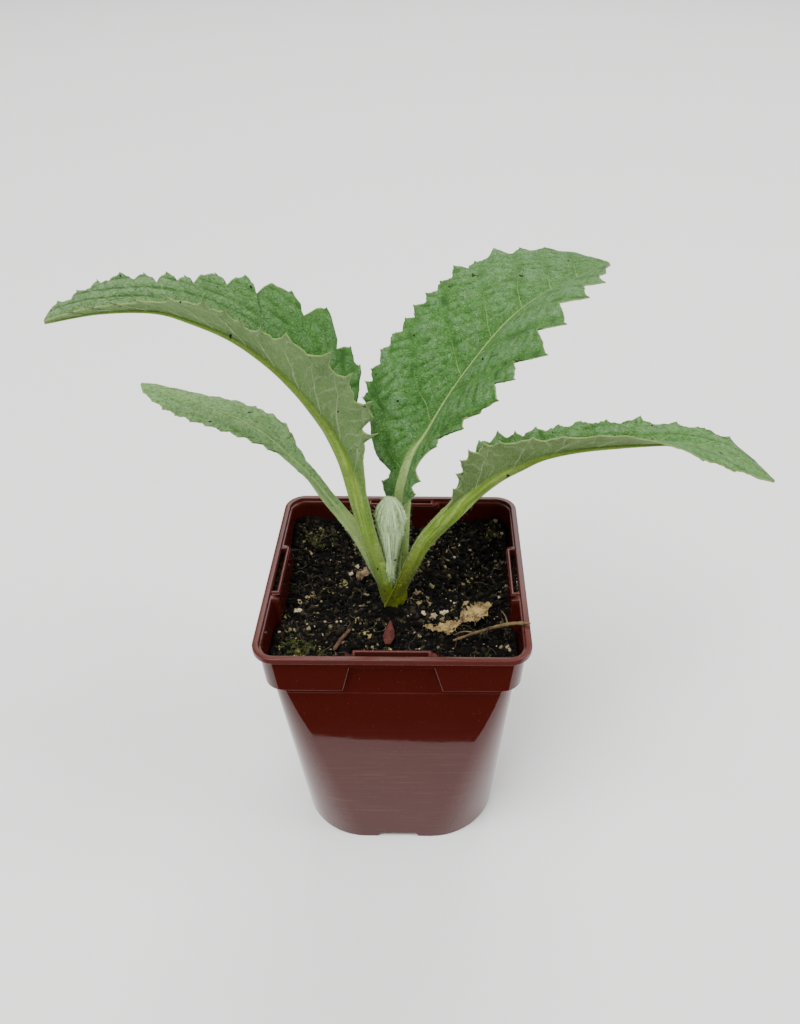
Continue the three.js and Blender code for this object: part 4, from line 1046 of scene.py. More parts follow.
def scatter_tree():
    """Geometry Nodes: picked shapes scattered over the faces of a mesh, each with its own tint."""
    tree = bpy.data.node_groups.new("scatter", "GeometryNodeTree")
    socket = tree.interface.new_socket
    socket("Geometry", in_out="INPUT", socket_type="NodeSocketGeometry")
    inputs = {
        "Shapes": "Collection", "Material": "Material", "Cover": "String", "Density": "Float",
        "Smallest": "Float", "Largest": "Float", "Lean": "Float", "Seed": "Int",
    }
    for name, kind in inputs.items():
        socket(name, in_out="INPUT", socket_type="NodeSocket" + kind)
    socket("Geometry", in_out="OUTPUT", socket_type="NodeSocketGeometry")
    nodes = Nodes(tree)
    given = nodes.add("NodeGroupInput").outputs

    def out(kind, inputs, socket=0, **settings):
        return nodes.add(kind, inputs, **settings).outputs[socket]

    def draw(seed_shift):
        seed = nodes.math("ADD", given["Seed"], seed_shift)
        return out("FunctionNodeRandomValue", {2: 0.0, 3: 1.0, "Seed": seed}, 1, data_type="FLOAT")

    cover = out("GeometryNodeInputNamedAttribute", {"Name": given["Cover"]}, data_type="FLOAT")
    points = nodes.add("GeometryNodeDistributePointsOnFaces", {
        "Mesh": given["Geometry"], "Density": nodes.times(given["Density"], cover),
        "Seed": given["Seed"]}).outputs
    upright = out("FunctionNodeAlignRotationToVector", {"Vector": points["Normal"]}, axis="Z")
    lean = out("ShaderNodeCombineXYZ", {0: given["Lean"], 1: given["Lean"], 2: math.pi})
    opposite = out("ShaderNodeVectorMath", {0: lean, 1: (-1, -1, -1)}, operation="MULTIPLY")
    turn = out("FunctionNodeRandomValue", {0: opposite, 1: lean, "Seed": given["Seed"]},
               data_type="FLOAT_VECTOR")
    turn = out("FunctionNodeEulerToRotation", {0: turn})
    rotation = out("FunctionNodeRotateRotation", {"Rotation": upright, "Rotate By": turn},
                   rotation_space="LOCAL")
    skewed = nodes.math("POWER", draw(11.0), 2.2)
    size = out("ShaderNodeMapRange", {0: skewed, 3: given["Smallest"], 4: given["Largest"]})
    shapes = out("GeometryNodeCollectionInfo", {
        "Collection": given["Shapes"], "Separate Children": True, "Reset Children": True})
    placed = out("GeometryNodeInstanceOnPoints", {
        "Points": points["Points"], "Instance": shapes, "Pick Instance": True, "Rotation": rotation,
        "Scale": size})
    stored = out("GeometryNodeStoreNamedAttribute", {"Geometry": placed, "Name": "tint", "Value": draw(23.0)},
                 data_type="FLOAT", domain="INSTANCE")
    real = out("GeometryNodeRealizeInstances", {"Geometry": stored})
    coated = out("GeometryNodeSetMaterial", {"Geometry": real, "Material": given["Material"]})
    nodes.add("NodeGroupOutput", {0: coated})
    return tree


def scatter(name, carrier, slot, shapes, **values):
    """A piece made of small shapes over the carrier's faces. `values` go to the tree's inputs."""
    tree = bpy.data.node_groups.get("scatter") or scatter_tree()
    keys = {item.name: item.identifier for item in tree.interface.items_tree if item.in_out == "INPUT"}
    collection = bpy.data.collections.new(name)
    bpy.context.scene.collection.children.link(collection)
    for index, (points, faces) in enumerate(shapes):
        shape = mesh_object(f"{name}_{index}", points, faces)
        bpy.context.scene.collection.objects.unlink(shape)
        collection.objects.link(shape)
    made = bpy.data.objects.new(name, carrier.data.copy())
    bpy.context.scene.collection.objects.link(made)
    modifier = made.modifiers.new("Scatter", "NODES")
    modifier.node_group = tree
    for key, value in {"Shapes": collection, **values}.items():
        modifier[keys[key]] = value
    apply_modifiers(made)
    if not made.data.polygons:
        raise RuntimeError(f"{name} came out empty")
    for shape in list(collection.objects):
        bpy.data.objects.remove(shape)
    bpy.data.collections.remove(collection)
    finish_piece(made, slot)


def lump_shape(seed, squash=0.7, rough=0.35, rings=4, sides=6):
    """A rough pebble a unit across, half sunk through its origin, in metres when scaled."""
    points = [(0, 0, -0.5 * squash)]
    for ring in range(1, rings):
        tilt = math.pi * ring / rings
        radius, height = 0.5 * math.sin(tilt), -0.5 * squash * math.cos(tilt)
        for side in range(sides):
            turn = 2 * math.pi * (side + 0.5 * (ring % 2)) / sides
            points.append((radius * math.cos(turn), radius * math.sin(turn), height))
    points.append((0, 0, 0.5 * squash))
    points = [Vector(point) * (1 + rough * noise.noise(Vector(point) * 3.1 + Vector((seed * 7.3, 0, 0))))
              for point in points]
    last = 1 + (rings - 2) * sides
    faces = []
    for side in range(sides):
        after = (side + 1) % sides
        faces += [(0, 1 + after, 1 + side), (last + side, last + after, last + sides)]
        for ring in range(rings - 2):
            a, b = 1 + ring * sides + side, 1 + ring * sides + after
            faces.append((a, b, b + sides, a + sides))
    return np.array(points) / MM, faces


def strand_shape(seed, steps=6, width=0.012, droop=0.6):
    """A bent strand a unit long that lies along X, in metres when scaled."""
    shares = [step / steps for step in range(steps + 1)]
    centres = [(share - 0.5, noise.noise(Vector((share * 2.1, seed * 3.7, 0.5))) * droop,
                noise.noise(Vector((share * 1.7, seed * 5.1, 9.5))) * droop * 0.45 + 0.05)
               for share in shares]
    points, faces = tube_points(centres, [width * (1 - 0.75 * share) for share in shares], 3)
    return points / MM, faces


def hair_shape(seed):
    """A tapered hair a unit long that stands on its origin, in metres when scaled."""
    steps, width, bend = 2, 0.035, 0.25
    points = []
    for step in range(steps):
        share = step / steps
        radius = width * (1 - share * 0.7)
        for side in range(3):
            turn = 2 * math.pi * side / 3 + seed
            points.append((radius * math.cos(turn) + bend * share**2, radius * math.sin(turn), share))
    points.append((bend, 0, 1))
    last = (steps - 1) * 3
    faces = grid_faces(steps, 3, closed=True)
    faces += [(last + side, last + (side + 1) % 3, last + 3) for side in range(3)]
    return np.array(points) / MM, faces + [(2, 1, 0)]


LEAFLET_FACES = [(0, 2, 1), (1, 2, 3), (0, 1, 4), (0, 4, 2), (3, 4, 1), (3, 2, 4)]


def sprig_shape(seed):
    """A tuft of moss a unit across: short pointed leaflets round a stem."""
    leaflets = 7
    points, faces = [], []
    for leaflet in range(leaflets):
        turn = leaflet * 2.4 + seed
        height = 0.15 + 0.5 * leaflet / leaflets
        out = Vector((math.cos(turn), math.sin(turn), 0.55 + 0.3 * math.sin(seed + leaflet)))
        side = Vector((-math.sin(turn), math.cos(turn), 0)) * 0.09
        foot, tip = Vector((0, 0, height - 0.15)), Vector((0, 0, height)) + out * 0.4
        middle = (foot + tip) / 2 + Vector((0, 0, 0.06))
        base = len(points)
        points += [foot, middle + side, middle - side, tip, middle - Vector((0, 0, 0.07))]
        faces += [tuple(base + corner for corner in face) for face in LEAFLET_FACES]
    return np.array(points) / MM, faces


# The pot: the same lofts and cuts as its solid, with rounder corners and rounded edges.
FOOT_HALF, FOOT_RADIUS = 36.5, 24.3
SHOULDER_HALF, SHOULDER_RADIUS = 39.5, 5.2
BODY_TOP_HALF, BODY_TOP_DEPTH = 39.9, 0.4
COLLAR_HALF, COLLAR_FOOT_HALF, COLLAR_RADIUS, COLLAR_DEPTH = 42.4, 41.6, 6.8, 16.2
SEAM_DEPTH = 19.6
RIM_RADIUS, LIP_WIDTH, LIP_HEIGHT, LEDGE = 7.7, 2.0, 2.1, 0.8
PANEL_DEPTH, PANEL_TOP, PANEL_FOOT = 5.2, 26.5, 32.0
SLOT_LENGTH, SLOT_WIDTH = 22.8, 1.9
BLOCK_START = 30.0
FLOOR_Z, FLOOR_THICKNESS, FOOT_WALL = 2.0, 1.2, 2.6
NOTCH_TOP, NOTCH_FOOT = 13.0, 16.0
HUB_RADIUS, DRAIN_RADIUS, DRAIN_CIRCLE, DRAIN_COUNT = 13.0, 3.2, 23.0, 8
CORNER_STEPS = 14
BEVEL_ANGLE = 35


def square_ring(half, radius, z):
    """A square ring with round corners, counter-clockwise."""
    ring = []
    for corner in range(4):
        middle = math.pi / 4 + corner * math.pi / 2
        centre_x = math.copysign(half - radius, math.cos(middle))
        centre_y = math.copysign(half - radius, math.sin(middle))
        for step in range(CORNER_STEPS + 1):
            angle = middle - math.pi / 4 + step / CORNER_STEPS * math.pi / 2
            ring.append((centre_x + radius * math.cos(angle), centre_y + radius * math.sin(angle), z))
    return ring


def loft(name, rings):
    """A closed solid over rings of equal point counts, from the lowest to the highest."""
    count = len(rings[0])
    faces = grid_faces(len(rings), count, closed=True)
    last = (len(rings) - 1) * count
    faces += [tuple(reversed(range(count))), tuple(last + index for index in range(count))]
    return mesh_object(name, [point for ring in rings for point in ring], faces, smooth=False)


def square_loft(name, *stations):
    """A closed solid over square rings, each (half, radius, z)."""
    return loft(name, [square_ring(*station) for station in stations])


def cylinder(name, radius, x, y):
    """A round cutter through the floor of the pot."""
    turns = np.linspace(0, 2 * math.pi, 48, endpoint=False)
    return loft(name, [[(x + radius * math.cos(turn), y + radius * math.sin(turn), z) for turn in turns]
                       for z in (-4.0, 4.0)])


def edit_mesh(made, change):
    """Runs a bmesh change on an object's mesh."""
    work = bmesh.new()
    work.from_mesh(made.data)
    change(work)
    work.to_mesh(made.data)
    work.free()


def side_prisms(name, top_half, foot_half, top_z, foot_z, inner, outer):
    """A trapezoid prism on the middle of each of the four sides."""
    outline = [(-foot_half, foot_z), (foot_half, foot_z), (top_half, top_z), (-top_half, top_z)]
    points, faces = [], []
    for turn in range(4):
        angle = turn * math.pi / 2
        cos, sin = math.cos(angle), math.sin(angle)
        base = len(points)
        for depth in (-inner, -outer):
            points += [(x * cos - depth * sin, x * sin + depth * cos, z) for x, z in outline]
        for step in range(4):
            after = (step + 1) % 4
            faces.append((base + after, base + step, base + 4 + step, base + 4 + after))
        faces += [(base, base + 1, base + 2, base + 3), (base + 7, base + 6, base + 5, base + 4)]
    made = mesh_object(name, points, faces, smooth=False)
    edit_mesh(made, lambda work: bmesh.ops.recalc_face_normals(work, faces=work.faces))
    return made


def boolean(target, tool, operation):
    """Joins or cuts the target with the tool, and removes the tool."""
    modifier = target.modifiers.new("Boolean", "BOOLEAN")
    modifier.operation = operation
    modifier.solver = "MANIFOLD"
    modifier.object = tool
    apply_modifiers(target)
    bpy.data.objects.remove(tool)
    return target


def body_station(z, inset, height):
    """The body widens from its round-cornered foot to the square shoulder under the collar."""
    share = z / (height - COLLAR_DEPTH)
    half = FOOT_HALF + (SHOULDER_HALF - FOOT_HALF) * share
    radius = FOOT_RADIUS + (SHOULDER_RADIUS - FOOT_RADIUS) * share
    return half - inset, radius - inset, z


def pot_part(name, inset, levels, body_top, collar_top, panel_levels, height, rim_half):
    """The body joined to its collar's four corners: the outer form, or the hollow inset from it."""
    body = square_loft(name, *(body_station(z, inset, height) for z in levels),
                       (BODY_TOP_HALF - inset, SHOULDER_RADIUS - inset, body_top))
    collar = square_loft("collar", (COLLAR_FOOT_HALF - inset, COLLAR_RADIUS - inset, levels[-1]),
                         (COLLAR_HALF - inset, COLLAR_RADIUS - inset, collar_top))
    panels = side_prisms("panels", PANEL_TOP / 2 + inset, PANEL_FOOT / 2 + inset, *panel_levels,
                         BLOCK_START, rim_half)
    return boolean(body, boolean(collar, panels, "DIFFERENCE"), "UNION")


def pot_shell(height, rim_half):
    """The outer form, with the lip on it."""
    foot, lip_foot = height - COLLAR_DEPTH, height - LIP_HEIGHT
    shell = pot_part("pot", 0, np.linspace(0, foot, 9), height - BODY_TOP_DEPTH, lip_foot + 0.2,
                     (height - PANEL_DEPTH, foot - 0.5), height, rim_half)
    lip = square_loft("lip", (rim_half, RIM_RADIUS, lip_foot), (rim_half, RIM_RADIUS, height))
    return boolean(shell, lip, "UNION")


def pot_cavity(height, rim_half, wall):
    """The hollow inside the wall and above the floor."""
    shoulder = height - COLLAR_DEPTH + wall
    return pot_part("cavity", wall, np.linspace(FLOOR_Z + FLOOR_THICKNESS, shoulder, 8), height + 1,
                    height + 1, (height + 2, shoulder - 1), height, rim_half)


def pot_top_cuts(height, rim_half, wall):
    """The space inside the lip, less the pocket behind it at the middle of each side, and the slots."""
    ring = (rim_half - LIP_WIDTH, RIM_RADIUS - LIP_WIDTH)
    ledge = height - LIP_HEIGHT + LEDGE
    opening = square_loft("opening", (*ring, ledge), (*ring, height + 1))
    slot = SLOT_LENGTH / 2
    pockets = side_prisms("pockets", slot + wall, slot + wall, height - BODY_TOP_DEPTH, ledge - 1,
                          BODY_TOP_HALF - wall, rim_half)
    boolean(opening, pockets, "DIFFERENCE")
    slots = side_prisms("slots", slot, slot, height + 1, height - PANEL_DEPTH - 1, BODY_TOP_HALF,
                        BODY_TOP_HALF + SLOT_WIDTH)
    return boolean(opening, slots, "UNION")


def pot_underside(height, rim_half):
    """The space under the raised floor round its hub, the notches in the foot and the drainage holes."""
    cut = square_loft("underside", *(body_station(z, FOOT_WALL, height) for z in (-1, FLOOR_Z)))
    boolean(cut, cylinder("hub", HUB_RADIUS, 0, 0), "DIFFERENCE")
    notches = side_prisms("notches", NOTCH_TOP / 2, NOTCH_FOOT / 2, FLOOR_Z, -0.5, BLOCK_START, rim_half)
    boolean(cut, notches, "UNION")
    for index in range(DRAIN_COUNT):
        turn = (index + 0.5) * 2 * math.pi / DRAIN_COUNT
        hole = cylinder("drain", DRAIN_RADIUS, DRAIN_CIRCLE * math.cos(turn), DRAIN_CIRCLE * math.sin(turn))
        boolean(cut, hole, "UNION")
    return cut


def soil_height(x, y):
    """Soft lumps and small crumbs, banked up against the wall."""
    swell = 0.7 * np.sin(x / 9 + 1.3) * np.cos(y / 11 - 0.4) + 0.45 * np.sin(x / 4.3 - y / 5.1)
    crumbs = 0.5 * np.sin(x * 1.31 + np.sin(y * 0.9) * 2) * np.sin(y * 1.47 - x * 0.37)
    banked = 1.1 * (np.maximum(np.abs(x), np.abs(y)) / 44) ** 6
    for corner_x, corner_y, rise in SOIL_BANKS:
        banked = banked + rise * np.exp(-((x - corner_x) ** 2 + (y - corner_y) ** 2) / 16**2)
    return SOIL_Z + swell + crumbs + banked


def reach_in_square(u, v, half, radius):
    """How far rays towards (u, v) on the unit square's border run in a square with round corners."""
    u, v = np.abs(u), np.abs(v)
    centre = half - radius
    square = u * u + v * v
    middle = centre * (u + v)
    root = np.sqrt(np.maximum(0, middle**2 - square * (2 * centre**2 - radius**2)))
    in_corner = np.minimum(u, v) * half > centre
    return np.where(in_corner, (middle + root) / np.maximum(square, 1e-9), half)


def soil_outline(u, v, z, height, inset):
    """Reach of the pot's hollow at height z, with its stepped corners above the shoulder."""
    if z <= height - COLLAR_DEPTH + inset:
        return reach_in_square(u, v, *body_station(z, inset, height)[:2])
    main = reach_in_square(u, v, BODY_TOP_HALF - inset, SHOULDER_RADIUS - inset)
    corner = reach_in_square(u, v, COLLAR_FOOT_HALF - inset, COLLAR_RADIUS - inset)
    beside = np.minimum(np.abs(u), np.abs(v)) * (BODY_TOP_HALF - inset)
    return main + (corner - main) * smoothstep(beside, PANEL_FOOT / 2 + 0.9, PANEL_FOOT / 2 + 2.5)


def soil_block(height, inset):
    """The soil in its pot, with a fine relief on top, and the faces of its top alone."""
    steps = np.linspace(-1, 1, SOIL_GRID + 1)
    a, b = np.meshgrid(steps, steps)
    middle = np.maximum(np.maximum(np.abs(a), np.abs(b)), 1e-9)
    reach = soil_outline(a / middle, b / middle, SOIL_Z, height, inset)
    x, y = a * reach, b * reach
    rough = [ripple((px * 0.45, py * 0.45, 3.3), 0.8, 2.1) for px, py in zip(x.flat, y.flat)]
    z = soil_height(x, y) + 0.75 * np.array(rough).reshape(x.shape)
    points = np.stack([x, y, z], axis=-1).reshape(-1, 3)
    top = grid_faces(SOIL_GRID + 1, SOIL_GRID + 1)
    above = grid_border(SOIL_GRID + 1, SOIL_GRID + 1)
    u, v = (a / middle).flat[above], (b / middle).flat[above]
    rings, faces = [], list(top)
    shoulder = height - COLLAR_DEPTH + inset
    for level in (89, shoulder + 0.1, shoulder, 60, 30, FLOOR_Z + FLOOR_THICKNESS + 0.3):
        reach = soil_outline(u, v, level, height, inset)
        first = len(points) + sum(len(ring) for ring in rings)
        rings.append(np.stack([u * reach, v * reach, np.full(len(u), level)], axis=1))
        below = list(range(first, first + len(u)))
        for step, here in enumerate(below):
            faces.append((above[step], above[step - 1], below[step - 1], here))
        above = below
    faces.append(tuple(reversed(above)))
    return np.concatenate([points, *rings]), faces, points, top


def lace_faces(keep):
    """Faces of a closed sheet over the kept cells of a grid, with an edge round every hole."""
    rows, columns = keep.shape[0] + 1, keep.shape[1] + 1
    low = rows * columns
    faces = []
    padded = np.pad(keep, 1)
    for row, column in zip(*np.nonzero(keep)):
        a = row * columns + column
        corners = (a, a + 1, a + columns + 1, a + columns)
        faces += [corners, tuple(corner + low for corner in reversed(corners))]
        neighbours = (padded[row, column + 1], padded[row + 1, column + 2],
                      padded[row + 2, column + 1], padded[row + 1, column])
        for side, is_kept in enumerate(neighbours):
            if not is_kept:
                here, after = corners[side], corners[(side + 1) % 4]
                faces.append((after, here, here + low, after + low))
    return faces


def scrap_object(name, material, spine, half_widths, curl, rag, crumple, lace):
    """A curled scrap with ragged edges: a strip along its spine, bent at its edges, with holes."""
    rows, columns = 22 * (len(spine) - 1) + 1, 49
    centres, _ = smooth_curve(spine, rows)
    widths = np.interp(np.linspace(0, 1, rows), np.linspace(0, 1, len(half_widths)), half_widths)
    forward = unit(np.gradient(centres, axis=0))
    side = unit(np.cross([0.0, 0.0, 1.0], forward))
    shares = np.linspace(1, -1, columns)
    upper = np.zeros((rows, columns, 3))
    worn = np.zeros((rows, columns))
    for row in range(rows):
        for column, share in enumerate(shares):
            edge = ripple((row * 0.16, math.copysign(4.0, share), 1.7))
            across = share * widths[row] * (1 + rag * edge * abs(share) ** 2)
            place = centres[row] + side[row] * across
            fold = ripple(Vector(place) * 0.55 + Vector((0, 0, 6.1)), 0.9, 2.1)
            rise = curl * share**2 * min(1, widths[row] / 2)
            upper[row, column] = place + np.array([0, 0, rise + crumple * fold])
            worn[row, column] = ripple(Vector(place) * 0.5, 0.7, 2.3) + 0.5 * abs(share) ** 2
    normals = grid_normals(upper, np.broadcast_to([0.0, 0.0, 1.0], upper.shape))
    depths = 0.16 + 0.2 * (1 - np.abs(shares)[None, :]) * np.ones((rows, 1))
    points = sheet_points(upper, normals, depths)
    faces = lace_faces(worn[:-1, :-1] < lace)
    used = sorted({corner for face in faces for corner in face})
    order = {corner: index for index, corner in enumerate(used)}
    faces = [tuple(order[corner] for corner in face) for face in faces]
    return mesh_object(name, points[used], faces, material)


def twig_object(name, material, points, radii, forks):
    """A twig with a rough bark, slight swellings at its joints and thin forks."""
    rings, sides = 90, 20
    centres, _ = smooth_curve(points, rings)
    profile = []
    for ring in range(rings):
        share = ring / (rings - 1)
        knot = 1 + 0.22 * math.exp(-((share * 5 % 1 - 0.5) / 0.09) ** 2)
        radius = (radii[0] + (radii[1] - radii[0]) * share) * knot * min(1, 4 * (1 - share) + 0.5)
        profile.append([radius * (1 + 0.16 * noise.noise(Vector((ring * 0.35, side * 0.9, radii[1] * 9))))
                        for side in range(sides)])
    tube, faces = tube_points(centres, profile, sides)
    for fork in forks:
        branch, _ = smooth_curve(fork, 24)
        more, more_faces = tube_points(branch, np.linspace(0.32, 0.1, 24), 8)
        faces += [tuple(corner + len(tube) for corner in face) for face in more_faces]
        tube = np.concatenate([tube, more])
    return mesh_object(name, tube, faces, material)


def crown_object(material):
    """The short ribbed stem that carries the leaves, with the neck of the root below it."""
    radii, heights = zip(*STEM_PROFILE)
    rings = []
    for z in np.linspace(heights[0], heights[-1], 40):
        ring = []
        for turn in np.linspace(0, 2 * math.pi, 64, endpoint=False):
            radius = np.interp(z, heights, radii) * (1 + 0.02 * math.cos(9 * turn))
            ring.append((STEM_X + radius * math.cos(turn), STEM_Y + radius * math.sin(turn), z))
        rings.append(ring)
    made = loft("crown_stem", rings)
    made.data.materials.append(material)
    made.data.shade_smooth()
    return made


class ARTICHOKE_OT_stage(bpy.types.Operator):
    """Makes the floor, the lights and the camera"""
    bl_idname = "artichoke.stage"
    bl_label = "Stage"

    def execute(self, context):
        stage = context.scene.artichoke_stage
        side = FLOOR_SIZE / MM / 2
        corners = [(-side, -side), (side, -side), (side, side), (-side, side)]
        floor = mesh_object("floor", [(*corner, -FLOOR_DROP) for corner in corners], [(0, 1, 2, 3)],
                            floor_material(stage))
        flag = mesh_object("flag", [(*corner, FLAG_RISE) for corner in FLAG_OUTLINE],
                           [tuple(range(len(FLAG_OUTLINE)))], flag_material())
        flag.visible_camera = False
        flag.visible_diffuse = False
        flag.visible_shadow = False
        for name, (place, size, share) in LIGHTS.items():
            self.add_light(name, place, size, stage.key * share)
        world = bpy.data.worlds.new("studio")
        world.use_nodes = True
        background = world.node_tree.nodes["Background"]
        background.inputs["Color"].default_value = (1, 1, 1, 1)
        background.inputs["Strength"].default_value = stage.fill
        context.scene.world = world
        lens = bpy.data.cameras.new("camera")
        lens.lens = stage.lens
        lens.sensor_width = 36
        lens.shift_x = CAMERA_SHIFT
        lens.clip_start = 0.01
        camera = bpy.data.objects.new("camera", lens)
        tilt = Matrix.Rotation(math.radians(CAMERA_TILT), 4, "X")
        roll = Matrix.Rotation(math.radians(CAMERA_ROLL), 4, "Z")
        camera.matrix_world = Matrix.Translation(CAMERA_PLACE) @ tilt @ roll
        context.scene.collection.objects.link(camera)
        context.scene.camera = camera
        return {"FINISHED"}

    @staticmethod
    def add_light(name, place, size, power):
        """A square lamp that faces the plant."""
        lamp = bpy.data.lights.new(name, "AREA")
        lamp.size = size
        lamp.energy = power
        made = bpy.data.objects.new(name, lamp)
        made.location = place
        made.rotation_euler = (Vector(LIGHT_AIM) - made.location).to_track_quat("-Z", "Y").to_euler()
        bpy.context.scene.collection.objects.link(made)


class ARTICHOKE_OT_leaves(bpy.types.Operator):
    """Builds the crown, the five leaves and their hairs"""
    bl_idname = "artichoke.leaves"
    bl_label = "Leaves"

    def execute(self, context):
        leaves = context.scene.artichoke_leaves
        finish_piece(crown_object(crown_material(leaves)), "stem_green", "crown")
        coat = {"roughness": 0.6, "sheen": 0.3}
        fuzz = tinted_material("fuzz", (0.25, 0.34, 0.12), (0.55, 0.62, 0.4), 600.0, 0.00005, **coat)
        down = tinted_material("down", (0.48, 0.64, 0.33), leaves.down, 600.0, 0.00005, **coat)
        hairs = [hair_shape(seed) for seed in range(3)]
        for index, (name, leaf) in enumerate(LEAVES.items()):
            if name == "leaf_heart":
                slot, cover, density, longest, lean, material = "leaf_down", "wool", 2.4e6, 1.8, 1.0, down
            else:
                slot, cover, density, longest, lean, material = "leaf_green", "hairy", 1.8e6, 1.3, 0.6, fuzz
            made = leaf_object(name.replace("leaf", "blade"), leaf, leaves,
                               leaf_material(name, leaves, **leaf["look"]))
            scatter(name.replace("leaf", "hairs"), made, slot, hairs, Cover=cover, Density=density,
                    Smallest=leaves.hair * 0.4, Largest=leaves.hair * longest, Lean=lean, Seed=31 + index,
                    Material=material)
            finish_piece(made, slot, name)
        return {"FINISHED"}


class ARTICHOKE_OT_pot(bpy.types.Operator):
    """Builds the square nursery pot"""
    bl_idname = "artichoke.pot"
    bl_label = "Pot"

    def execute(self, context):
        pot = context.scene.artichoke_pot
        height, rim_half, wall = pot.height / MM, pot.rim / MM / 2, pot.wall / MM
        made = pot_shell(height, rim_half)
        boolean(made, pot_cavity(height, rim_half, wall), "DIFFERENCE")
        boolean(made, pot_top_cuts(height, rim_half, wall), "DIFFERENCE")
        boolean(made, pot_underside(height, rim_half), "DIFFERENCE")
        made.name = "pot_moulding"
        edit_mesh(made, lambda work: bmesh.ops.triangulate(
            work, faces=[face for face in work.faces if len(face.verts) > 4]))
        bevel = made.modifiers.new("Edges", "BEVEL")
        bevel.limit_method = "ANGLE"
        bevel.angle_limit = math.radians(BEVEL_ANGLE)
        bevel.width = pot.edge
        bevel.segments = 2
        bevel.use_clamp_overlap = False
        apply_modifiers(made)
        made.data.shade_smooth()
        weigh = made.modifiers.new("Normals", "WEIGHTED_NORMAL")
        weigh.weight = 100
        apply_modifiers(made)
        made.data.materials.clear()
        made.data.materials.append(plastic_material(pot))
        finish_piece(made, "pot_plastic", "pot")
        return {"FINISHED"}


# What is scattered on the soil: its shapes, the cover it keeps to, pieces per square metre, the
# least and the greatest size in metres, its lean in radians and the shift of its seed. Then its
# dark and light tones, the scale of its grain, the height of that grain and more of its look.
CRUMB_TONES = (0.001, 0.0009, 0.0007), (0.05, 0.036, 0.02)
CRUMB_LOOK = {"roughness": 0.9, "specular": 0.12}
SCATTERED = {
    "crumbs": (
        [partial(lump_shape, seed, rough=0.9) for seed in range(5)],
        ("all", 0.72e6, 0.0005, "crumb", 0.6, 0),
        (*CRUMB_TONES, 1800.0, 0.0003), {**CRUMB_LOOK, "span": (0.6, 1.2)}),
    "fibres": (
        [partial(strand_shape, seed, steps=8, width=0.014, droop=0.5) for seed in range(6)],
        ("all", 0.1e6, 0.0025, "fibre", 0.35, 1),
        ((0.01, 0.007, 0.004), (0.16, 0.125, 0.08), 900.0, 0.0001), {}),
    "grit": (
        [partial(lump_shape, seed, squash=0.85, rough=0.4, rings=6, sides=9) for seed in range(4)],
        ("all", 0.016e6, 0.0003, 0.0014, 0.6, 2),
        ((0.1, 0.075, 0.045), "perlite", 1500.0, 0.0002), {}),
    "husks": (
        [partial(lump_shape, seed, squash=0.4, rough=1.3, rings=6, sides=9) for seed in range(40, 45)],
        ("all", 0.24e6, 0.0002, 0.0019, 0.7, 4),
        ((0.003, 0.0022, 0.0012), (0.3, 0.24, 0.11), 1100.0, 0.0004), {"span": (0.42, 1.15)}),
    "moss": (
        [partial(sprig_shape, seed) for seed in range(4)],
        ("moss", 2.2e6, 0.0008, 0.002, 0.7, 3),
        ((0.02, 0.03, 0.004), "moss", 900.0, 0.0001), {}),
    "tufts": (
        [partial(lump_shape, seed, squash=0.8, rough=1.2, rings=5, sides=7) for seed in range(60, 65)],
        ("tufts", 3.2e6, 0.0003, 0.0013, 0.8, 6),
        ((0.035, 0.03, 0.006), (0.36, 0.31, 0.1), 1300.0, 0.0003), {}),
    "slot_crumbs": (
        [partial(lump_shape, seed, rough=0.9) for seed in range(5)],
        ("top", 3.0e6, 0.0003, 0.0009, 0.6, 5),
        (*CRUMB_TONES, 1800.0, 0.0003), CRUMB_LOOK),
}


def scatter_on_soil(name, kind, carrier, soil):
    """A piece of one scattered kind. A name in its row stands for that setting of the soil."""
    def known(value):
        return getattr(soil, value) if isinstance(value, str) else value

    shapes, (cover, density, smallest, largest, lean, shift), (dark, light, *grain), look = SCATTERED[kind]
    scatter(name, carrier, "soil", [shape() for shape in shapes], Cover=cover, Density=density,
            Smallest=smallest, Largest=known(largest), Lean=lean, Seed=soil.seed + shift,
            Material=tinted_material(kind, dark, known(light), *grain, **look))


def patches(x, y, places, inner):
    """One in the middle of each round patch, falling to nothing from the share `inner` of its radius."""
    return np.max([1 - smoothstep(np.hypot(x - place_x, y - place_y), radius * inner, radius)
                   for place_x, place_y, radius in places], axis=0)


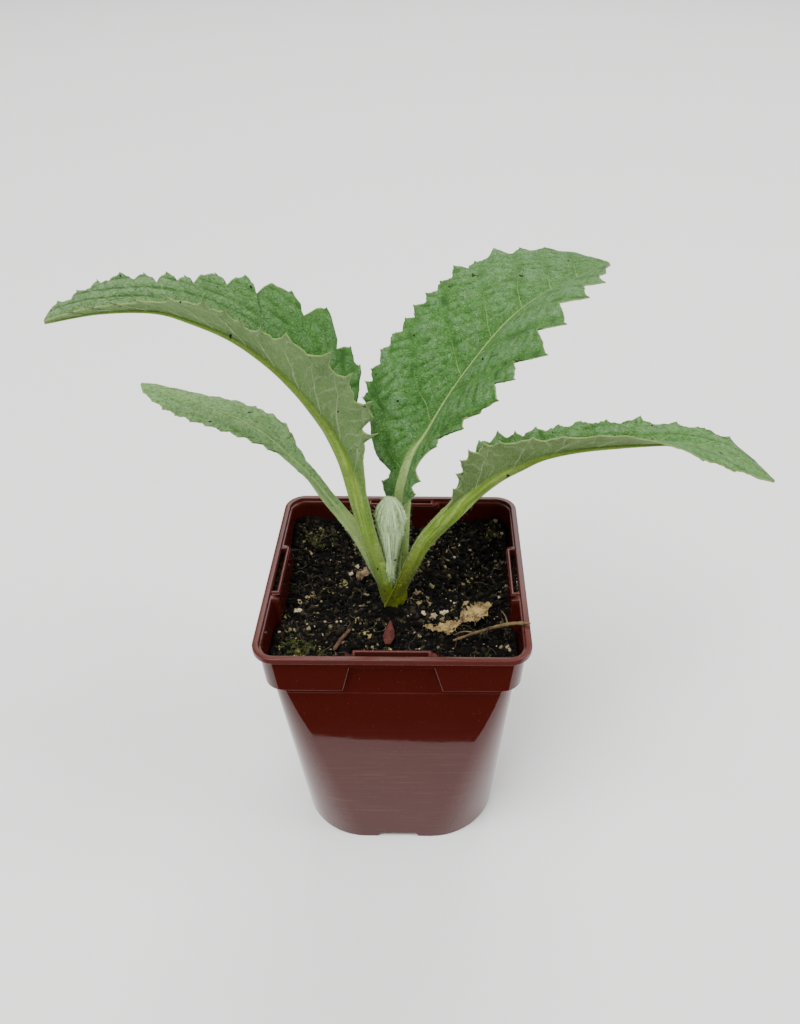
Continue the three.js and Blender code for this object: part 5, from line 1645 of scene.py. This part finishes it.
class ARTICHOKE_OT_soil(bpy.types.Operator):
    """Fills the pot with soil, and scatters crumbs, fibres, perlite and moss on it"""
    bl_idname = "artichoke.soil"
    bl_label = "Soil"

    def execute(self, context):
        soil = context.scene.artichoke_soil
        pot = context.scene.artichoke_pot
        material = soil_material(soil)
        points, faces, top_points, top_faces = soil_block(pot.height / MM, pot.wall / MM + 0.3)
        finish_piece(mesh_object("soil_block", points, faces, material), "soil", "soil")
        carrier = mesh_object("soil_top", top_points, top_faces)
        x, y = top_points[:, 0], top_points[:, 1]
        cover = smoothstep(np.hypot(x - CROWN_X, y - CROWN_Y), 4, 6)
        cover = cover * (np.maximum(np.abs(x), np.abs(y)) < 39)
        clumps = [noise.noise(Vector((px / 2.4, py / 2.4, 4.4))) for px, py in zip(x, y)]
        moss = patches(x, y, MOSS, 0.3) * cover * smoothstep(np.array(clumps), -0.25, 0.2)
        tufts = np.maximum(patches(x, y, TUFTS, 0.7) * cover, 0.2 * moss)
        for name, values in {"all": cover, "moss": moss, "tufts": tufts}.items():
            add_values(carrier.data, name, values)
        for kind in ("crumbs", "fibres", "grit", "husks", "moss", "tufts"):
            scatter_on_soil("soil_" + kind, kind, carrier, soil)
        bpy.data.objects.remove(carrier)
        self.fill_slots_with_soil_and_shade(pot, soil, material)
        self.add_grains(soil)
        return {"FINISHED"}

    @staticmethod
    def fill_slots_with_soil_and_shade(pot, soil, material):
        """A dark plug of soil in the slots behind the lip, with crumbs on top: partly soil lodged there,
        partly painted shade that keeps the deep slots dark.
        """
        # The plug is partly lodged soil and partly painted shade, a dark block where the slots' depth is in
        # shade.
        top = pot.height / MM - PANEL_DEPTH + 1.8
        length = SLOT_LENGTH / 2 - 0.3
        inner, outer = BODY_TOP_HALF + 0.2, BODY_TOP_HALF + SLOT_WIDTH - 0.2
        plug = side_prisms("soil_in_slots", length, length, top, top - 2, inner, outer)
        plug.data.materials.append(material)
        finish_piece(plug, "soil")
        carrier = bpy.data.objects.new("slot_tops", plug.data.copy())
        add_values(carrier.data, "top", [vertex.co.z / MM > top - 1 for vertex in plug.data.vertices])
        scatter_on_soil("slot_crumbs", "slot_crumbs", carrier, soil)
        bpy.data.objects.remove(carrier)

    @staticmethod
    def add_grains(soil):
        """Perlite where the photo shows it, each grain with its own lightness."""
        points, faces, tints = [], [], []
        for index, (x, y, radius, lightness) in enumerate(GRAINS):
            shape, shape_faces = lump_shape(index + 20, squash=0.85, rough=1.0, rings=10, sides=16)
            centre = np.array([x, y, float(soil_height(x, y)) + 0.25 * radius])
            faces += [tuple(corner + len(tints) for corner in face) for face in shape_faces]
            points.append(shape * MM * 2 * radius + centre)
            tints += [lightness] * len(shape)
        material = tinted_material("perlite", (0.16, 0.11, 0.06), soil.perlite, 1200.0, 0.0003)
        made = mesh_object("soil_perlite", np.concatenate(points), faces, material)
        add_values(made.data, "tint", tints)
        finish_piece(made, "soil")


# The slot, the dark and the light tone of each scrap and twig.
LITTER_LOOKS = {
    "dry_leaf": ("dry_leaf", (0.045, 0.027, 0.009), (0.4, 0.28, 0.11)),
    "red_scrap": ("red_scrap", (0.035, 0.006, 0.005), (0.1, 0.022, 0.016)),
    "bark_flake": ("bark", (0.02, 0.012, 0.006), (0.3, 0.2, 0.11)),
    "twig_long": ("twig", (0.025, 0.015, 0.006), (0.19, 0.13, 0.055)),
    "twig_short": ("twig", (0.015, 0.008, 0.004), (0.11, 0.055, 0.026)),
}


class ARTICHOKE_OT_litter(bpy.types.Operator):
    """Builds the scraps and twigs that lie on the soil"""
    bl_idname = "artichoke.litter"
    bl_label = "Litter"

    def execute(self, context):
        kinds = ((SCRAPS, scrap_object, "_skin", 0.0003, 2.4), (TWIGS, twig_object, "_bark", 0.0004, 1.8))
        for table, shape, ending, grain, patch in kinds:
            for name, row in table.items():
                slot, dark, light = LITTER_LOOKS[name]
                material = tinted_material(name, dark, light, 900.0, grain, patch=patch)
                made = shape(name + ending, material, **row)
                add_values(made.data, "tint", 0.5)
                if name == "dry_leaf":
                    self.add_fuzz(made)
                finish_piece(made, slot, name)
        return {"FINISHED"}

    @staticmethod
    def add_fuzz(leaf):
        """Pale threads that stand out of the dry leaf."""
        add_values(leaf.data, "all", 1.0)
        scatter("dry_threads", leaf, "dry_leaf", [strand_shape(seed) for seed in range(9, 13)],
                Cover="all", Density=0.35e6, Smallest=0.0012, Largest=0.004, Lean=0.9, Seed=61,
                Material=tinted_material("threads", (0.25, 0.19, 0.09), (0.6, 0.5, 0.3), 900.0, 0.0001))


class ARTICHOKE_PT_panel(bpy.types.Panel):
    """Lists the sizes, the colours and the steps of the plant"""
    bl_idname = "ARTICHOKE_PT_panel"
    bl_label = "Globe Artichoke"
    bl_space_type = "VIEW_3D"
    bl_region_type = "UI"
    bl_category = "Artichoke"

    def draw(self, context):
        for group in GROUPS:
            box = self.layout.box()
            settings = getattr(context.scene, group)
            for name in settings.bl_rna.properties.keys():
                if name not in ("rna_type", "name"):
                    box.prop(settings, name)
        for operator in OPERATORS:
            self.layout.operator(operator.bl_idname)


GROUPS = {
    "artichoke_stage": ArtichokeStage, "artichoke_pot": ArtichokePot,
    "artichoke_soil": ArtichokeSoil, "artichoke_leaves": ArtichokeLeaves,
}
OPERATORS = [
    ARTICHOKE_OT_stage, ARTICHOKE_OT_leaves, ARTICHOKE_OT_pot, ARTICHOKE_OT_soil, ARTICHOKE_OT_litter,
]


def register():
    for kind in [*GROUPS.values(), *OPERATORS, ARTICHOKE_PT_panel]:
        bpy.utils.register_class(kind)
    for name, group in GROUPS.items():
        setattr(bpy.types.Scene, name, PointerProperty(type=group))


def unregister():
    for name in GROUPS:
        delattr(bpy.types.Scene, name)
    for kind in reversed([*GROUPS.values(), *OPERATORS, ARTICHOKE_PT_panel]):
        bpy.utils.unregister_class(kind)


def main():
    register()
    bpy.ops.artichoke.stage()
    bpy.ops.artichoke.leaves()
    bpy.ops.artichoke.pot()
    bpy.ops.artichoke.soil()
    bpy.ops.artichoke.litter()
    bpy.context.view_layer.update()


if __name__ == "__main__":
    main()
